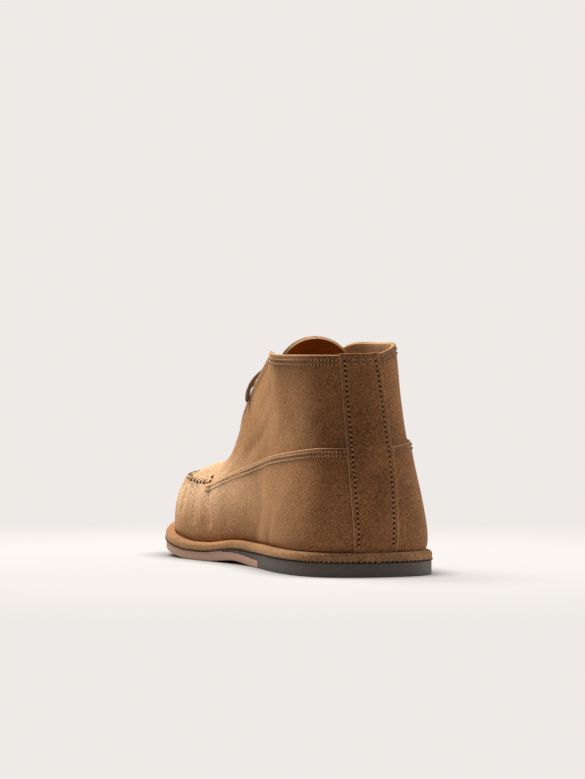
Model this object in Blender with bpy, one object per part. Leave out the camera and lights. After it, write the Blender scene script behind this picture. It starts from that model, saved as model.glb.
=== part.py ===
"""Moccasin-toe chukka boot for the right foot, as an assembly of closed solids.

Metres, +Z up, toe towards +Y, the outer (lateral) side towards +X, sole on z = 0.
Every piece is cut from two functions: sole_edge(t), the outline seen from above,
and surface(t, b), the outside of the upper. t runs once round the boot, from the
back of the heel (0) along the inner side to the toe tip (0.5) and back along the
outer side. b runs from the feather line at the sole (0) to the top of the upper (1).
"""
import bpy
import bmesh
import numpy as np

# Driving dimensions: lengths and widths of the whole boot
LENGTH = 0.2900              # sole, back of the heel to the tip of the toe
BALL_WIDTH = 0.1065          # sole across the ball
HEEL_WIDTH = 0.0820          # sole across the heel
COLLAR_WIDTH = 0.0635        # collar opening, across the outside
COLLAR_HEIGHT = 0.1205       # floor to the collar at the back
VAMP_HEIGHT = 0.0615         # floor to the lower end of the throat
TOE_HEIGHT = 0.0530          # floor to the front of the apron
FOXING_HEIGHT = 0.0698       # floor to the top edge of the mudguard at the heel
SEAM_HEIGHT = 0.0446         # floor to the apron seam

# Driving dimensions: thicknesses and fits
WALL = 0.0024                # lined leather of the upper
OVERLAY = 0.0014             # leather of the mudguard
STAY_THICKNESS = 0.0020      # leather of the backstay
STAY_WIDTH = 0.0222          # backstay across
APRON_THICKNESS = 0.0013     # leather of the apron
APRON_SINK = 0.0022          # step down from the quarters to the leather under the apron
RIDGE_RISE = 0.0016          # how far the gathered seam stands above the upper's surface
RIDGE_WIDTH = 0.0036         # gathered seam across
CLEARANCE = 0.0003           # gap between pieces that touch on the real boot

# Driving dimensions: sole
MIDSOLE_THICKNESS = 0.0053   # wrapped platform between upper and sole
HEEL_REACH = 0.0065          # platform beyond the upper at the heel
TOE_REACH = 0.0070           # platform beyond the upper at the forefoot
HEEL_THICKNESS = 0.0077      # rubber heel
OUTSOLE_THICKNESS = 0.0050   # forepart sole
WEDGE_TIP = 0.0007           # thickness left at the front end of the heel's wedge
WEDGE_START = 0.0034         # thickness of that wedge where it leaves the heel
SOLE_INSET = 0.0003          # sole edge inside the platform edge
SOLE_CHAMFER = 0.0004        # bottom edge of heel and outsole
EDGE_ROUND = 0.0016          # rounding of the platform edge
ARCH_RISE = 0.0020           # waist of the sole above the floor
TOE_SPRING = 0.0120          # toe of the sole above the floor
INSOLE_THICKNESS = 0.0025
INSOLE_FIT = 0.0009          # gap round the insole

# Driving dimensions: tongue and lace
TONGUE_WIDTH = 0.0410        # at the collar
TONGUE_RISE = 0.0105         # tongue above the collar at the back
TONGUE_THICKNESS = 0.0022
TONGUE_ARC = 0.0340          # radius of the tongue's cross curve
LACE_DIAMETER = 0.0022
LACE_LIFT = 0.0003           # lace above the facing, over the clearance
LACE_DRIFT = 0.16            # share of a crossing done by the time it leaves the lower facing
EYELET_INSET = 0.0070        # eyelet row behind the facing's edge

# Sole outline: a row per section from heel to toe. along_in and along_out are shares of
# LENGTH, side_in and side_out shares of the width there, and ball says how much of that
# width is BALL_WIDTH rather than HEEL_WIDTH.
OUTLINE = np.array([
    # along_in  side_in  along_out  side_out  ball
    [0.000,     0.000,   0.000,     0.000,    0.00],
    [0.017,    -0.268,   0.017,     0.288,    0.00],
    [0.062,    -0.415,   0.062,     0.457,    0.00],
    [0.145,    -0.476,   0.145,     0.530,    0.00],
    [0.248,    -0.476,   0.259,     0.540,    0.00],
    [0.352,    -0.420,   0.366,     0.512,    0.20],
    [0.452,    -0.398,   0.472,     0.511,    0.45],
    [0.559,    -0.413,   0.572,     0.513,    0.75],
    [0.662,    -0.446,   0.662,     0.516,    1.00],
    [0.759,    -0.479,   0.748,     0.521,    1.00],
    [0.841,    -0.460,   0.831,     0.474,    1.00],
    [0.917,    -0.380,   0.907,     0.371,    1.00],
    [0.972,    -0.239,   0.969,     0.197,    1.00],
    [1.000,    -0.028,   1.000,    -0.028,    1.00],
])

# Top edge of the upper and fullness of its sections, for the same rows. along is a share
# of LENGTH, side of COLLAR_WIDTH. rise is 0 at TOE_HEIGHT, 1 at VAMP_HEIGHT and 2 at
# COLLAR_HEIGHT. line is where the mudguard ends: 0 at SEAM_HEIGHT, 1 at FOXING_HEIGHT.
TOP_IN = np.array([
    # along   side    rise   line
    [0.059,  -0.079,  2.000,  1.00],
    [0.067,  -0.283,  2.000,  1.00],
    [0.100,  -0.465,  2.000,  0.98],
    [0.172,  -0.551,  2.000,  0.90],
    [0.286,  -0.551,  2.015,  0.80],
    [0.397,  -0.394,  2.005,  0.66],
    [0.514,  -0.378,  1.690,  0.46],
    [0.628,  -0.300,  1.290,  0.22],
    [0.719,  -0.047,  1.000, -0.03],
    [0.757,  -0.047,  0.640,  0.00],
    [0.805,  -0.047,  0.390,  0.03],
    [0.846,  -0.047,  0.170,  0.06],
    [0.869,  -0.047,  0.050,  0.08],
    [0.879,  -0.047,  0.000,  0.09],
])
TOP_OUT = np.array([
    [0.059,  -0.079,  2.000,  1.00],
    [0.067,   0.126,  2.020,  1.05],
    [0.100,   0.307,  2.088,  1.12],
    [0.172,   0.417,  2.118,  1.16],
    [0.286,   0.441,  2.118,  1.08],
    [0.390,   0.307,  2.075,  0.86],
    [0.500,   0.276,  1.720,  0.58],
    [0.621,   0.205,  1.300,  0.28],
    [0.719,  -0.047,  1.000,  0.00],
    [0.757,  -0.047,  0.640,  0.00],
    [0.805,  -0.047,  0.390,  0.03],
    [0.846,  -0.047,  0.170,  0.06],
    [0.869,  -0.047,  0.050,  0.08],
    [0.879,  -0.047,  0.000,  0.09],
])

# Section shape, for the same rows. turn is how far the wall leans over by the top, in
# degrees, full how boxy the section is. swell, nip_in and nip_out are shares of
# BALL_WIDTH: the counter's bulge near the sole, and the hollow above it on each side.
SECTION = np.array([
    # turn  full  swell   nip_in  nip_out
    [10.0,  2.0,  0.033,  0.033,  0.033],
    [10.0,  2.0,  0.040,  0.038,  0.046],
    [10.0,  2.0,  0.046,  0.042,  0.062],
    [12.0,  2.0,  0.048,  0.042,  0.070],
    [16.0,  2.0,  0.038,  0.028,  0.058],
    [34.0,  2.0,  0.023,  0.000,  0.019],
    [52.0,  2.3,  0.026,  0.000,  0.000],
    [72.0,  2.6,  0.022,  0.000,  0.000],
    [90.0,  2.9,  0.012,  0.000,  0.000],
    [90.0,  3.0,  0.008,  0.000,  0.000],
    [90.0,  2.9,  0.000,  0.000,  0.000],
    [90.0,  2.8,  0.000,  0.000,  0.000],
    [90.0,  3.3,  0.000,  0.000,  0.000],
    [90.0,  3.2,  0.000,  0.000,  0.000],
])
SWELL_AT = 0.22              # where on the section the counter's bulge is widest

# Underside of the sole along its length, and how much of the heel's thickness it has.
SOLE_PROFILE = np.array([
    # along  arch  spring  heel
    [0.000,  0.00,  0.000,  1.00],
    [0.380,  0.00,  0.000,  1.00],
    [0.500,  1.00,  0.000,  0.45],
    [0.565,  0.50,  0.000,  0.22],
    [0.621,  0.00,  0.000,  0.06],
    [0.690,  0.00,  0.000,  0.00],
    [0.760,  0.00,  0.130,  0.00],
    [0.840,  0.00,  0.350,  0.00],
    [0.917,  0.00,  0.640,  0.00],
    [1.000,  0.00,  1.000,  0.00],
])

# Tongue, a row per step up its middle: along is a share of LENGTH, rise as in TOP_IN,
# wide a share of TONGUE_WIDTH. The last row is the collar; a round top goes above it.
TONGUE = np.array([
    # along   rise    wide
    [0.702,   0.430,  0.62],
    [0.664,   0.820,  0.80],
    [0.616,   1.150,  0.92],
    [0.558,   1.455,  0.95],
    [0.494,   1.650,  0.96],
    [0.428,   1.828,  0.98],
    [0.387,   1.945,  1.00],
    [0.366,   2.040,  1.00],
])
TONGUE_LEAN = 0.026          # how far back the round top leans, as a share of LENGTH

# Stations and grid
ROWS = 2 * (len(OUTLINE) - 1)        # sections round the whole boot
STEP = 1.0 / ROWS
BREAST_T = 5.0 * STEP                # front face of the heel
WEDGE_T = 6.8 * STEP                 # front end of the heel's wedge
FRONT_T = 8.0 * STEP                 # front edge of the quarters, over the apron
LACE_T = (5.50 * STEP, 6.15 * STEP)   # upper and lower eyelets
STAY_BLEND_T = 3.0 * STEP            # the backstay's columns straighten out by here
COLUMNS = 30                         # even columns on each side
LOWER_ROWS = 6                       # grid rows under the mudguard
UPPER_ROWS = 6                       # grid rows above the seam
ACROSS = 4                           # strips across each sole piece
STEP_RUN = 0.0004                    # width of the steps in the upper's wall


def ring_spline(values, t):
    """Periodic cubic B-spline through evenly spaced values, read at t (one turn is 1)."""
    values = np.asarray(values, float)
    count = len(values)
    index = np.arange(count)
    matrix = np.zeros((count, count))
    matrix[index, index] = 4.0
    matrix[index, (index + 1) % count] = 1.0
    matrix[index, (index - 1) % count] = 1.0
    weights = np.linalg.solve(matrix / 6.0, values)
    place = (np.asarray(t, float) % 1.0) * count
    cell = np.floor(place).astype(int) % count
    s = (place - np.floor(place))[:, None]
    basis = ((1 - s) ** 3, 3 * s ** 3 - 6 * s ** 2 + 4, -3 * s ** 3 + 3 * s ** 2 + 3 * s + 1, s ** 3)
    return sum(weights[(cell + k - 1) % count] * basis[k] for k in range(4)) / 6.0


def profile(stations, values, at):
    """Monotone cubic through a column of a table, level wherever two values are equal."""
    slopes = np.diff(values) / np.diff(stations)
    tangents = np.zeros(len(values))
    product = slopes[:-1] * slopes[1:]
    total = np.where(product > 0, slopes[:-1] + slopes[1:], 1.0)
    tangents[1:-1] = np.where(product > 0, 2 * product / total, 0.0)
    tangents[0] = slopes[0]
    tangents[-1] = slopes[-1]
    at = np.asarray(at, float)
    cell = np.clip(np.searchsorted(stations, at, side="right") - 1, 0, len(stations) - 2)
    width = stations[cell + 1] - stations[cell]
    s = np.clip((at - stations[cell]) / width, 0.0, 1.0)
    return ((1 + 2 * s) * (1 - s) ** 2 * values[cell] + s * (1 - s) ** 2 * width * tangents[cell]
            + s * s * (3 - 2 * s) * values[cell + 1] + s * s * (s - 1) * width * tangents[cell + 1])


def round_the_boot(inner, outer):
    """Inner rows heel to toe, then outer rows back to the heel, as one closed ring."""
    return np.vstack([inner, outer[-2:0:-1]])


def widths():
    """Sole width that each row of OUTLINE takes its side shares from."""
    ball = OUTLINE[:, 4]
    return HEEL_WIDTH * (1 - ball) + BALL_WIDTH * ball


def outline_ring():
    width = widths()
    inner = np.column_stack([OUTLINE[:, 1] * width, OUTLINE[:, 0] * LENGTH])
    outer = np.column_stack([OUTLINE[:, 3] * width, OUTLINE[:, 2] * LENGTH])
    return round_the_boot(inner, outer)


def sole_edge(t, inset=0.0):
    """Outline of the platform from above, moved inwards by inset along its normal."""
    ring = outline_ring()
    point = ring_spline(ring, t)
    tangent = ring_spline(ring, t + 1e-4) - ring_spline(ring, t - 1e-4)
    tangent /= np.linalg.norm(tangent, axis=1)[:, None]
    outward = np.column_stack([-tangent[:, 1], tangent[:, 0]])
    inset = np.broadcast_to(inset, t.shape)
    return point - outward * inset[:, None], outward


def sole_bottom(y):
    share = np.asarray(y) / LENGTH
    arch = profile(SOLE_PROFILE[:, 0], SOLE_PROFILE[:, 1], share)
    spring = profile(SOLE_PROFILE[:, 0], SOLE_PROFILE[:, 2], share)
    return ARCH_RISE * arch + TOE_SPRING * spring


def sole_top(y):
    heel = profile(SOLE_PROFILE[:, 0], SOLE_PROFILE[:, 3], np.asarray(y) / LENGTH)
    return sole_bottom(y) + OUTSOLE_THICKNESS + (HEEL_THICKNESS - OUTSOLE_THICKNESS) * heel


def platform_bottom(y):
    return sole_top(y) + CLEARANCE


def platform_top(y):
    return platform_bottom(y) + MIDSOLE_THICKNESS


def reach(t):
    """How far the platform stands beyond the upper: HEEL_REACH behind, TOE_REACH in front."""
    forward = 0.5 - 0.5 * np.cos(2 * np.pi * t)
    return HEEL_REACH + (TOE_REACH - HEEL_REACH) * np.clip(1.6 * forward - 0.4, 0.0, 1.0)


def height(rise):
    """Height for a rise of 0 at the toe, 1 at the throat's end and 2 at the collar."""
    low = TOE_HEIGHT + (VAMP_HEIGHT - TOE_HEIGHT) * np.minimum(rise, 1.0)
    return low + (COLLAR_HEIGHT - VAMP_HEIGHT) * np.maximum(rise - 1.0, 0.0)


def section_ring():
    """Top edge, mudguard line and section shape of every station, as columns of a ring."""
    def side(top, nip):
        return np.column_stack([
            top[:, 1] * COLLAR_WIDTH, top[:, 0] * LENGTH, height(top[:, 2]),
            SEAM_HEIGHT + (FOXING_HEIGHT - SEAM_HEIGHT) * top[:, 3],
            np.radians(SECTION[:, 0]), SECTION[:, 1], SECTION[:, 2] * BALL_WIDTH,
            SECTION[:, nip] * BALL_WIDTH])
    return round_the_boot(side(TOP_IN, 3), side(TOP_OUT, 4))


def surface(t, b):
    """Outside of the upper: a leaning, boxy section from the feather line to the top edge.

    Upwards it follows sin(turn b) and inwards 1 - cos(turn b), both to the power
    2 / full and scaled to end at 1. The counter's bulge and the hollow above it are
    two sine waves that move it along the outline's outward direction.
    """
    top_x, top_y, top_z, _, turn, full, swell, nip = section_ring_at(t)
    foot, outward = sole_edge(t, reach(t))
    foot_z = platform_top(foot[:, 1]) + CLEARANCE
    up = (np.sin(turn * b) / np.sin(turn)) ** (2 / full)
    across = (1 - np.cos(turn * b) ** (2 / full)) / (1 - np.cos(turn) ** (2 / full))
    share = np.clip(up, 0.0, 1.0)
    wave = swell * np.sin(np.pi * share ** (np.log(0.5) / np.log(SWELL_AT)))
    wave -= nip * np.sin(np.pi * share)
    plan = foot + (np.column_stack([top_x, top_y]) - foot) * across[:, None]
    plan += outward * wave[:, None]
    return np.column_stack([plan, foot_z + (top_z - foot_z) * up])


def section_ring_at(t):
    columns = ring_spline(section_ring(), t).T
    columns[4] = np.clip(columns[4], np.radians(5.0), np.radians(90.0))
    return columns


def seam_share(t):
    """b of the mudguard's top edge: the section's height formula solved for b."""
    _, _, top_z, line_z, turn, full, _, _ = section_ring_at(t)
    foot, _ = sole_edge(t, reach(t))
    foot_z = platform_top(foot[:, 1]) + CLEARANCE
    up = np.clip((line_z - foot_z) / (top_z - foot_z), 0.02, 0.98)
    return np.arcsin(up ** (full / 2) * np.sin(turn)) / turn


def normals(t, b):
    """Outward unit normals of surface(t, b), from central differences."""
    h = 1e-4
    low = np.clip(b - h, 1e-6, 1.0)
    high = np.clip(b + h, 0.0, 1.0)
    along = surface(t + h, b) - surface(t - h, b)
    up = surface(t, high) - surface(t, low)
    normal = np.cross(up, along)
    return normal / np.linalg.norm(normal, axis=1)[:, None]


def column_stations():
    """Stations of the grid's columns on the inner side, heel to toe."""
    turn = perimeter()
    even = np.linspace(0.0, 0.5, COLUMNS + 1)
    step = STEP_RUN / turn
    stay = stay_station()
    gap = 1.6 * CLEARANCE / turn
    marks = [stay, stay + gap, FRONT_T - step, FRONT_T, FRONT_T + 2 * step]
    near = 0.35 * (even[1] - even[0])
    kept = [t for t in even if min(abs(t - mark) for mark in marks) > near or t in (0.0, 0.5)]
    return np.array(sorted(kept + marks)), stay, gap


def perimeter():
    ring, _ = sole_edge(np.linspace(0.0, 1.0, 201))
    return np.linalg.norm(np.diff(ring, axis=0), axis=1).sum()


def stay_station():
    """Station at half the backstay's width from the heel's middle, at the feather line."""
    t = np.linspace(0.0, 2 * STEP, 81)
    foot, _ = sole_edge(t, reach(t))
    arc = np.concatenate([[0.0], np.cumsum(np.linalg.norm(np.diff(foot, axis=0), axis=1))])
    return float(np.interp(STAY_WIDTH / 2, arc, t))


def spread_columns(t, b, stay):
    """Widen the columns at the back towards the top, so the backstay keeps its width."""
    probe = np.linspace(0.0, 3 * STEP, 121)
    top = surface(probe, np.ones_like(probe))
    arc = np.concatenate([[0.0], np.cumsum(np.linalg.norm(np.diff(top, axis=0), axis=1))])
    gain = float(np.interp(STAY_WIDTH / 2, arc, probe)) - stay
    ramp = np.minimum(t / stay, np.clip((STAY_BLEND_T - t) / (STAY_BLEND_T - stay), 0.0, 1.0))
    return t + gain * ramp * b


def build_grid():
    """Points and normals of the upper on one grid for each side, and its marked lines."""
    stations, stay, _ = column_stations()
    line = {"in": seam_share(stations), "out": seam_share(1.0 - stations)}
    grid = {"t": stations}
    for side in ("in", "out"):
        where = stations if side == "in" else 1.0 - stations
        h = 1e-3
        speed = np.linalg.norm(surface(where, line[side] + h) - surface(where, line[side]), axis=1) / h
        rows = [line[side] * k / LOWER_ROWS for k in range(LOWER_ROWS + 1)]
        for run in (STEP_RUN, 2.4 * STEP_RUN, 2.4 * STEP_RUN + RIDGE_WIDTH / 2,
                    2.4 * STEP_RUN + RIDGE_WIDTH):
            rows.append(line[side] + run / speed)
        last = rows[-1]
        rows += [last + (1.0 - last) * k / UPPER_ROWS for k in range(1, UPPER_ROWS + 1)]
        b = np.array(rows).T
        t = np.repeat(stations[:, None], b.shape[1], axis=1)
        t = spread_columns(t, b, stay)
        if side == "out":
            t = 1.0 - t
        grid[side] = surface(t.ravel(), b.ravel()).reshape(*b.shape, 3)
        lean = normals(t.ravel(), np.minimum(b.ravel(), 0.985)).reshape(*b.shape, 3)
        lean[:, 0, 2] = 0.0
        lean[:, 0] /= np.linalg.norm(lean[:, 0], axis=1)[:, None]
        grid[side + "_normal"] = lean
    joined = stations > FRONT_T - 1.5 * STEP_RUN / perimeter()
    middle = 0.5 * (grid["in"][joined, -1] + grid["out"][joined, -1])
    lean = grid["in_normal"][joined, -1] + grid["out_normal"][joined, -1]
    lean /= np.linalg.norm(lean, axis=1)[:, None]
    for side in ("in", "out"):
        grid[side][joined, -1] = middle
        grid[side + "_normal"][joined, -1] = lean
    for end in (0, -1):
        grid["out"][end] = grid["in"][end]
        grid["out_normal"][end] = grid["in_normal"][end]
    grid["joined"] = int(np.argmax(joined))
    grid["front"] = int(np.argmin(abs(stations - FRONT_T)))
    grid["apron"] = grid["front"] + 1
    grid["stay"] = int(np.argmin(abs(stations - stay)))
    return grid


def make_object(name, points, faces, material):
    """Mesh object with doubled points merged and faces turned outwards."""
    mesh = bpy.data.meshes.new(name)
    mesh.from_pydata([tuple(p) for p in points], [], faces)
    bm = bmesh.new()
    bm.from_mesh(mesh)
    bmesh.ops.remove_doubles(bm, verts=bm.verts, dist=2e-6)
    bmesh.ops.dissolve_degenerate(bm, edges=bm.edges, dist=1e-7)
    loose = [v for v in bm.verts if not v.link_faces]
    bmesh.ops.delete(bm, geom=loose, context="VERTS")
    bmesh.ops.recalc_face_normals(bm, faces=bm.faces)
    bm.to_mesh(mesh)
    bm.free()
    mesh.shade_smooth()
    mesh.set_sharp_from_angle(angle=0.7)
    mesh.materials.append(material)
    obj = bpy.data.objects.new(name, mesh)
    bpy.context.scene.collection.objects.link(obj)
    return obj


def shell_piece(name, grid, columns, rows, outside, inside, material, open_top=False):
    """Wall between two offsets of the upper's surface, over part of its grid.

    columns is (first, last) on each side. A piece whose first column is 0 crosses the
    heel, and one whose last column is the final one goes round the toe. outside and
    inside are offsets for every column and row. open_top says that the top row is an
    open edge up to the column where both sides join.
    """
    points = []
    faces = []
    first, last = columns
    low, high = rows
    count = last - first + 1
    deep = high - low + 1

    def index(side, layer, column, row):
        return ((side * 2 + layer) * count + column) * deep + row

    for side in ("in", "out"):
        base = grid[side][first:last + 1, low:high + 1]
        lean = grid[side + "_normal"][first:last + 1, low:high + 1]
        for offset in (outside, inside):
            part = offset[first:last + 1, low:high + 1, None]
            points.extend((base + lean * part).reshape(-1, 3))
    end_joined = grid["joined"] - first
    whole = high == grid["in"].shape[1] - 1
    for side in (0, 1):
        for column in range(count - 1):
            for row in range(deep - 1):
                for layer in (0, 1):
                    faces.append((index(side, layer, column, row), index(side, layer, column + 1, row),
                                  index(side, layer, column + 1, row + 1), index(side, layer, column, row + 1)))
            edges = [0]
            if not whole or (open_top and column < end_joined):
                edges.append(deep - 1)
            for row in edges:
                faces.append((index(side, 0, column, row), index(side, 0, column + 1, row),
                              index(side, 1, column + 1, row), index(side, 1, column, row)))
        ends = []
        if first > 0:
            ends.append(0)
        if last < len(grid["t"]) - 1:
            ends.append(count - 1)
        for column in ends:
            for row in range(deep - 1):
                faces.append((index(side, 0, column, row), index(side, 0, column, row + 1),
                              index(side, 1, column, row + 1), index(side, 1, column, row)))
    return make_object(name, points, faces, material)


def make_upper(grid, material):
    shape = grid["in"].shape[:2]
    outside = np.zeros(shape)
    outside[grid["front"]:, LOWER_ROWS + 1:] = -APRON_SINK
    inside = outside - WALL
    last = (0, shape[0] - 1)
    return shell_piece("upper", grid, last, (0, shape[1] - 1), outside, inside, material, True)


def make_mudguard(grid, material):
    shape = grid["in"].shape[:2]
    inside = np.full(shape, CLEARANCE)
    columns = (grid["stay"] + 1, shape[0] - 1)
    return shell_piece("mudguard", grid, columns, (0, LOWER_ROWS), inside + OVERLAY, inside, material)


def make_backstay(grid, material):
    shape = grid["in"].shape[:2]
    inside = np.full(shape, CLEARANCE)
    return shell_piece("backstay", grid, (0, grid["stay"]), (0, shape[1] - 1),
                       inside + STAY_THICKNESS, inside, material, True)


def make_apron(grid, material):
    """Plug of the forefoot, with the gathered seam as a ridge round its edge."""
    shape = grid["in"].shape[:2]
    inside = np.full(shape, CLEARANCE - APRON_SINK)
    outside = inside + APRON_THICKNESS
    edge = LOWER_ROWS + 2
    outside[:, edge] = 0.6 * RIDGE_RISE
    outside[:, edge + 1] = RIDGE_RISE
    columns = (grid["apron"], shape[0] - 1)
    return shell_piece("apron", grid, columns, (edge, shape[1] - 1), outside, inside, material)


def even_stations(first, last):
    """Stations of a sole piece, spaced like the upper's columns."""
    cells = max(4, int(round((last - first) * 2 * COLUMNS)))
    return np.linspace(first, last, cells + 1)


def slab(name, t, levels, bottom, top, material):
    """Flat piece across the sole along the stations t, closed by its edge and its ends.

    levels is a list of (inset, share): how far inside the outline that ring of the edge
    lies, and how high between bottom(y, t) and top(y, t). The first and last are faces.
    """
    cells = len(t) - 1
    across = np.linspace(0.0, 1.0, ACROSS + 1)
    wide = ACROSS + 1
    size = (cells + 1) * wide
    station = np.repeat(t, wide)
    points = []
    faces = []
    for inset, share in levels:
        inner, _ = sole_edge(t, inset)
        outer, _ = sole_edge(1.0 - t, inset)
        plan = inner[:, None] * (1 - across)[None, :, None] + outer[:, None] * across[None, :, None]
        plan = plan.reshape(-1, 2)
        low = bottom(plan[:, 1], station)
        high = top(plan[:, 1], station)
        points.extend(np.column_stack([plan, low + (high - low) * share]))

    def index(level, cell, strip):
        return level * size + cell * wide + strip

    for level in (0, len(levels) - 1):
        for cell in range(cells):
            for strip in range(ACROSS):
                faces.append((index(level, cell, strip), index(level, cell + 1, strip),
                              index(level, cell + 1, strip + 1), index(level, cell, strip + 1)))
    loop = [(cell, 0) for cell in range(cells)] + [(cells, strip) for strip in range(ACROSS)]
    loop += [(cell, ACROSS) for cell in range(cells, 0, -1)]
    loop += [(0, strip) for strip in range(ACROSS, 0, -1)]
    for level in range(len(levels) - 1):
        for here, there in zip(loop, loop[1:] + loop[:1]):
            faces.append((index(level, *here), index(level, *there),
                          index(level + 1, *there), index(level + 1, *here)))
    return make_object(name, points, faces, material)


def wedge_underside(y, t):
    """Underside of the wedge that runs forward from the heel over the forepart sole."""
    along = np.clip((t - BREAST_T) / (WEDGE_T - BREAST_T), 0.0, 1.0)
    return sole_top(y) - WEDGE_START - (WEDGE_TIP - WEDGE_START) * along


def make_midsole(material):
    levels = [(EDGE_ROUND, 0.0), (0.3 * EDGE_ROUND, 0.10), (0.0, 0.34), (0.0, 0.66),
              (0.3 * EDGE_ROUND, 0.90), (EDGE_ROUND, 1.0)]
    return slab("midsole", even_stations(0.0, 0.5), levels, lambda y, t: platform_bottom(y),
                lambda y, t: platform_top(y), material)


def make_heel(material):
    """Rubber heel, with the thin wedge that runs forward from its breast."""
    step = STEP_RUN / perimeter()
    t = np.concatenate([even_stations(0.0, BREAST_T), even_stations(BREAST_T + step, WEDGE_T)])

    def under(y, station):
        return np.where(station > BREAST_T + step / 2, wedge_underside(y, station), sole_bottom(y))

    levels = [(SOLE_INSET + SOLE_CHAMFER, 0.0), (SOLE_INSET, 0.06), (SOLE_INSET, 1.0)]
    return slab("heel", t, levels, under, lambda y, station: sole_top(y), material)


def make_outsole(material):
    """Forepart sole, from the heel's breast to the toe, stepped down under the wedge."""
    step = STEP_RUN / perimeter()
    gap = step + 1.6 * CLEARANCE / perimeter()
    rear = even_stations(BREAST_T + gap, WEDGE_T + gap)
    t = np.concatenate([rear, even_stations(WEDGE_T + gap + step, 0.5)])

    def over(y, station):
        low = station < WEDGE_T + gap + step / 2
        return np.where(low, wedge_underside(y, station) - CLEARANCE, sole_top(y))

    levels = [(SOLE_INSET + SOLE_CHAMFER, 0.0), (SOLE_INSET, 0.08), (SOLE_INSET, 1.0)]
    return slab("outsole", t, levels, lambda y, station: sole_bottom(y), over, material)


def make_insole(material):
    def under(y, t):
        return platform_top(y) + CLEARANCE

    def over(y, t):
        return under(y, t) + INSOLE_THICKNESS

    inset = max(HEEL_REACH, TOE_REACH) + WALL + INSOLE_FIT
    return slab("insole", even_stations(0.0, 0.5), [(inset, 0.0), (inset, 1.0)], under, over, material)


def tongue_spine():
    """Middle line of the tongue's front face: (along, up, half width) for every step."""
    steps = len(TONGUE) * 2
    rows = np.arange(len(TONGUE), dtype=float)
    at = np.linspace(0.0, rows[-1], steps)
    along = profile(rows, TONGUE[:, 0] * LENGTH, at)
    up = profile(rows, height(TONGUE[:, 1]), at)
    half = profile(rows, TONGUE[:, 2] * TONGUE_WIDTH / 2, at)
    body = np.column_stack([along, up, half])
    tip_up = COLLAR_HEIGHT + TONGUE_RISE
    angle = np.linspace(0.0, np.pi / 2, 8)[1:]
    climb = np.sin(angle)
    head = np.column_stack([
        body[-1, 0] - TONGUE_LEAN * LENGTH * climb,
        body[-1, 1] + (tip_up - body[-1, 1]) * climb,
        body[-1, 2] * np.cos(angle)])
    return np.vstack([body, head])


def make_tongue(material):
    """Tongue as a curved strip: the spine carried across by an arc of TONGUE_ARC."""
    spine = tongue_spine()
    run = np.gradient(spine[:, :2], axis=0)
    run /= np.linalg.norm(run, axis=1)[:, None]
    front = np.column_stack([-run[:, 1], run[:, 0]]) * -1.0
    side = np.linspace(-1.0, 1.0, 11)
    middle = TOP_IN[-1, 1] * COLLAR_WIDTH
    x = spine[:, 2:3] * side[None]
    fall = TONGUE_ARC - np.sqrt(TONGUE_ARC ** 2 - x ** 2)
    points = []
    for depth in (0.0, TONGUE_THICKNESS):
        inwards = fall + depth
        y = spine[:, 0:1] - front[:, 0:1] * inwards
        z = spine[:, 1:2] - front[:, 1:2] * inwards
        shrink = 1.0 - depth / TONGUE_ARC
        points.extend(np.stack([middle + x * shrink, y, z], axis=2).reshape(-1, 3))
    wide = len(side)
    size = len(spine) * wide

    def index(layer, step, strip):
        return layer * size + step * wide + strip

    faces = []
    for step in range(len(spine) - 1):
        for strip in range(wide - 1):
            for layer in (0, 1):
                faces.append((index(layer, step, strip), index(layer, step + 1, strip),
                              index(layer, step + 1, strip + 1), index(layer, step, strip + 1)))
        for strip in (0, wide - 1):
            faces.append((index(0, step, strip), index(0, step + 1, strip),
                          index(1, step + 1, strip), index(1, step, strip)))
    for step in (0, len(spine) - 1):
        for strip in range(wide - 1):
            faces.append((index(0, step, strip), index(0, step, strip + 1),
                          index(1, step, strip + 1), index(1, step, strip)))
    return make_object("tongue", points, faces, material)


def by_facing(t, side, behind, under=False):
    """Point for the lace's middle, over or under the facing, so far behind its edge."""
    t = np.array([t if side == "in" else 1.0 - t])
    edge = np.ones(1)
    speed = np.linalg.norm(surface(t, edge) - surface(t, edge - 1e-3)) / 1e-3
    b = edge - behind / speed
    lift = CLEARANCE + LACE_LIFT + LACE_DIAMETER / 2
    if under:
        lift = -(lift + WALL)
    return (surface(t, b) + normals(t, b) * lift)[0]


def tube(name, path, diameter, material, sides=8):
    """Closed tube of round section along a path, with flat ends."""
    path = np.asarray(path)
    run = np.gradient(path, axis=0)
    run /= np.linalg.norm(run, axis=1)[:, None]
    up = np.cross(run, np.array([0.0, 1.0, 0.3]))
    up /= np.linalg.norm(up, axis=1)[:, None]
    across = np.cross(run, up)
    angle = np.arange(sides) * 2 * np.pi / sides
    ring = (np.cos(angle)[None, :, None] * up[:, None] + np.sin(angle)[None, :, None] * across[:, None])
    points = (path[:, None] + ring * diameter / 2).reshape(-1, 3)
    faces = []
    for step in range(len(path) - 1):
        for k in range(sides):
            after = (k + 1) % sides
            faces.append((step * sides + k, step * sides + after,
                          (step + 1) * sides + after, (step + 1) * sides + k))
    faces.append(tuple(range(sides)))
    faces.append(tuple((len(path) - 1) * sides + k for k in range(sides)))
    return make_object(name, points, faces, material)


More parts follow.
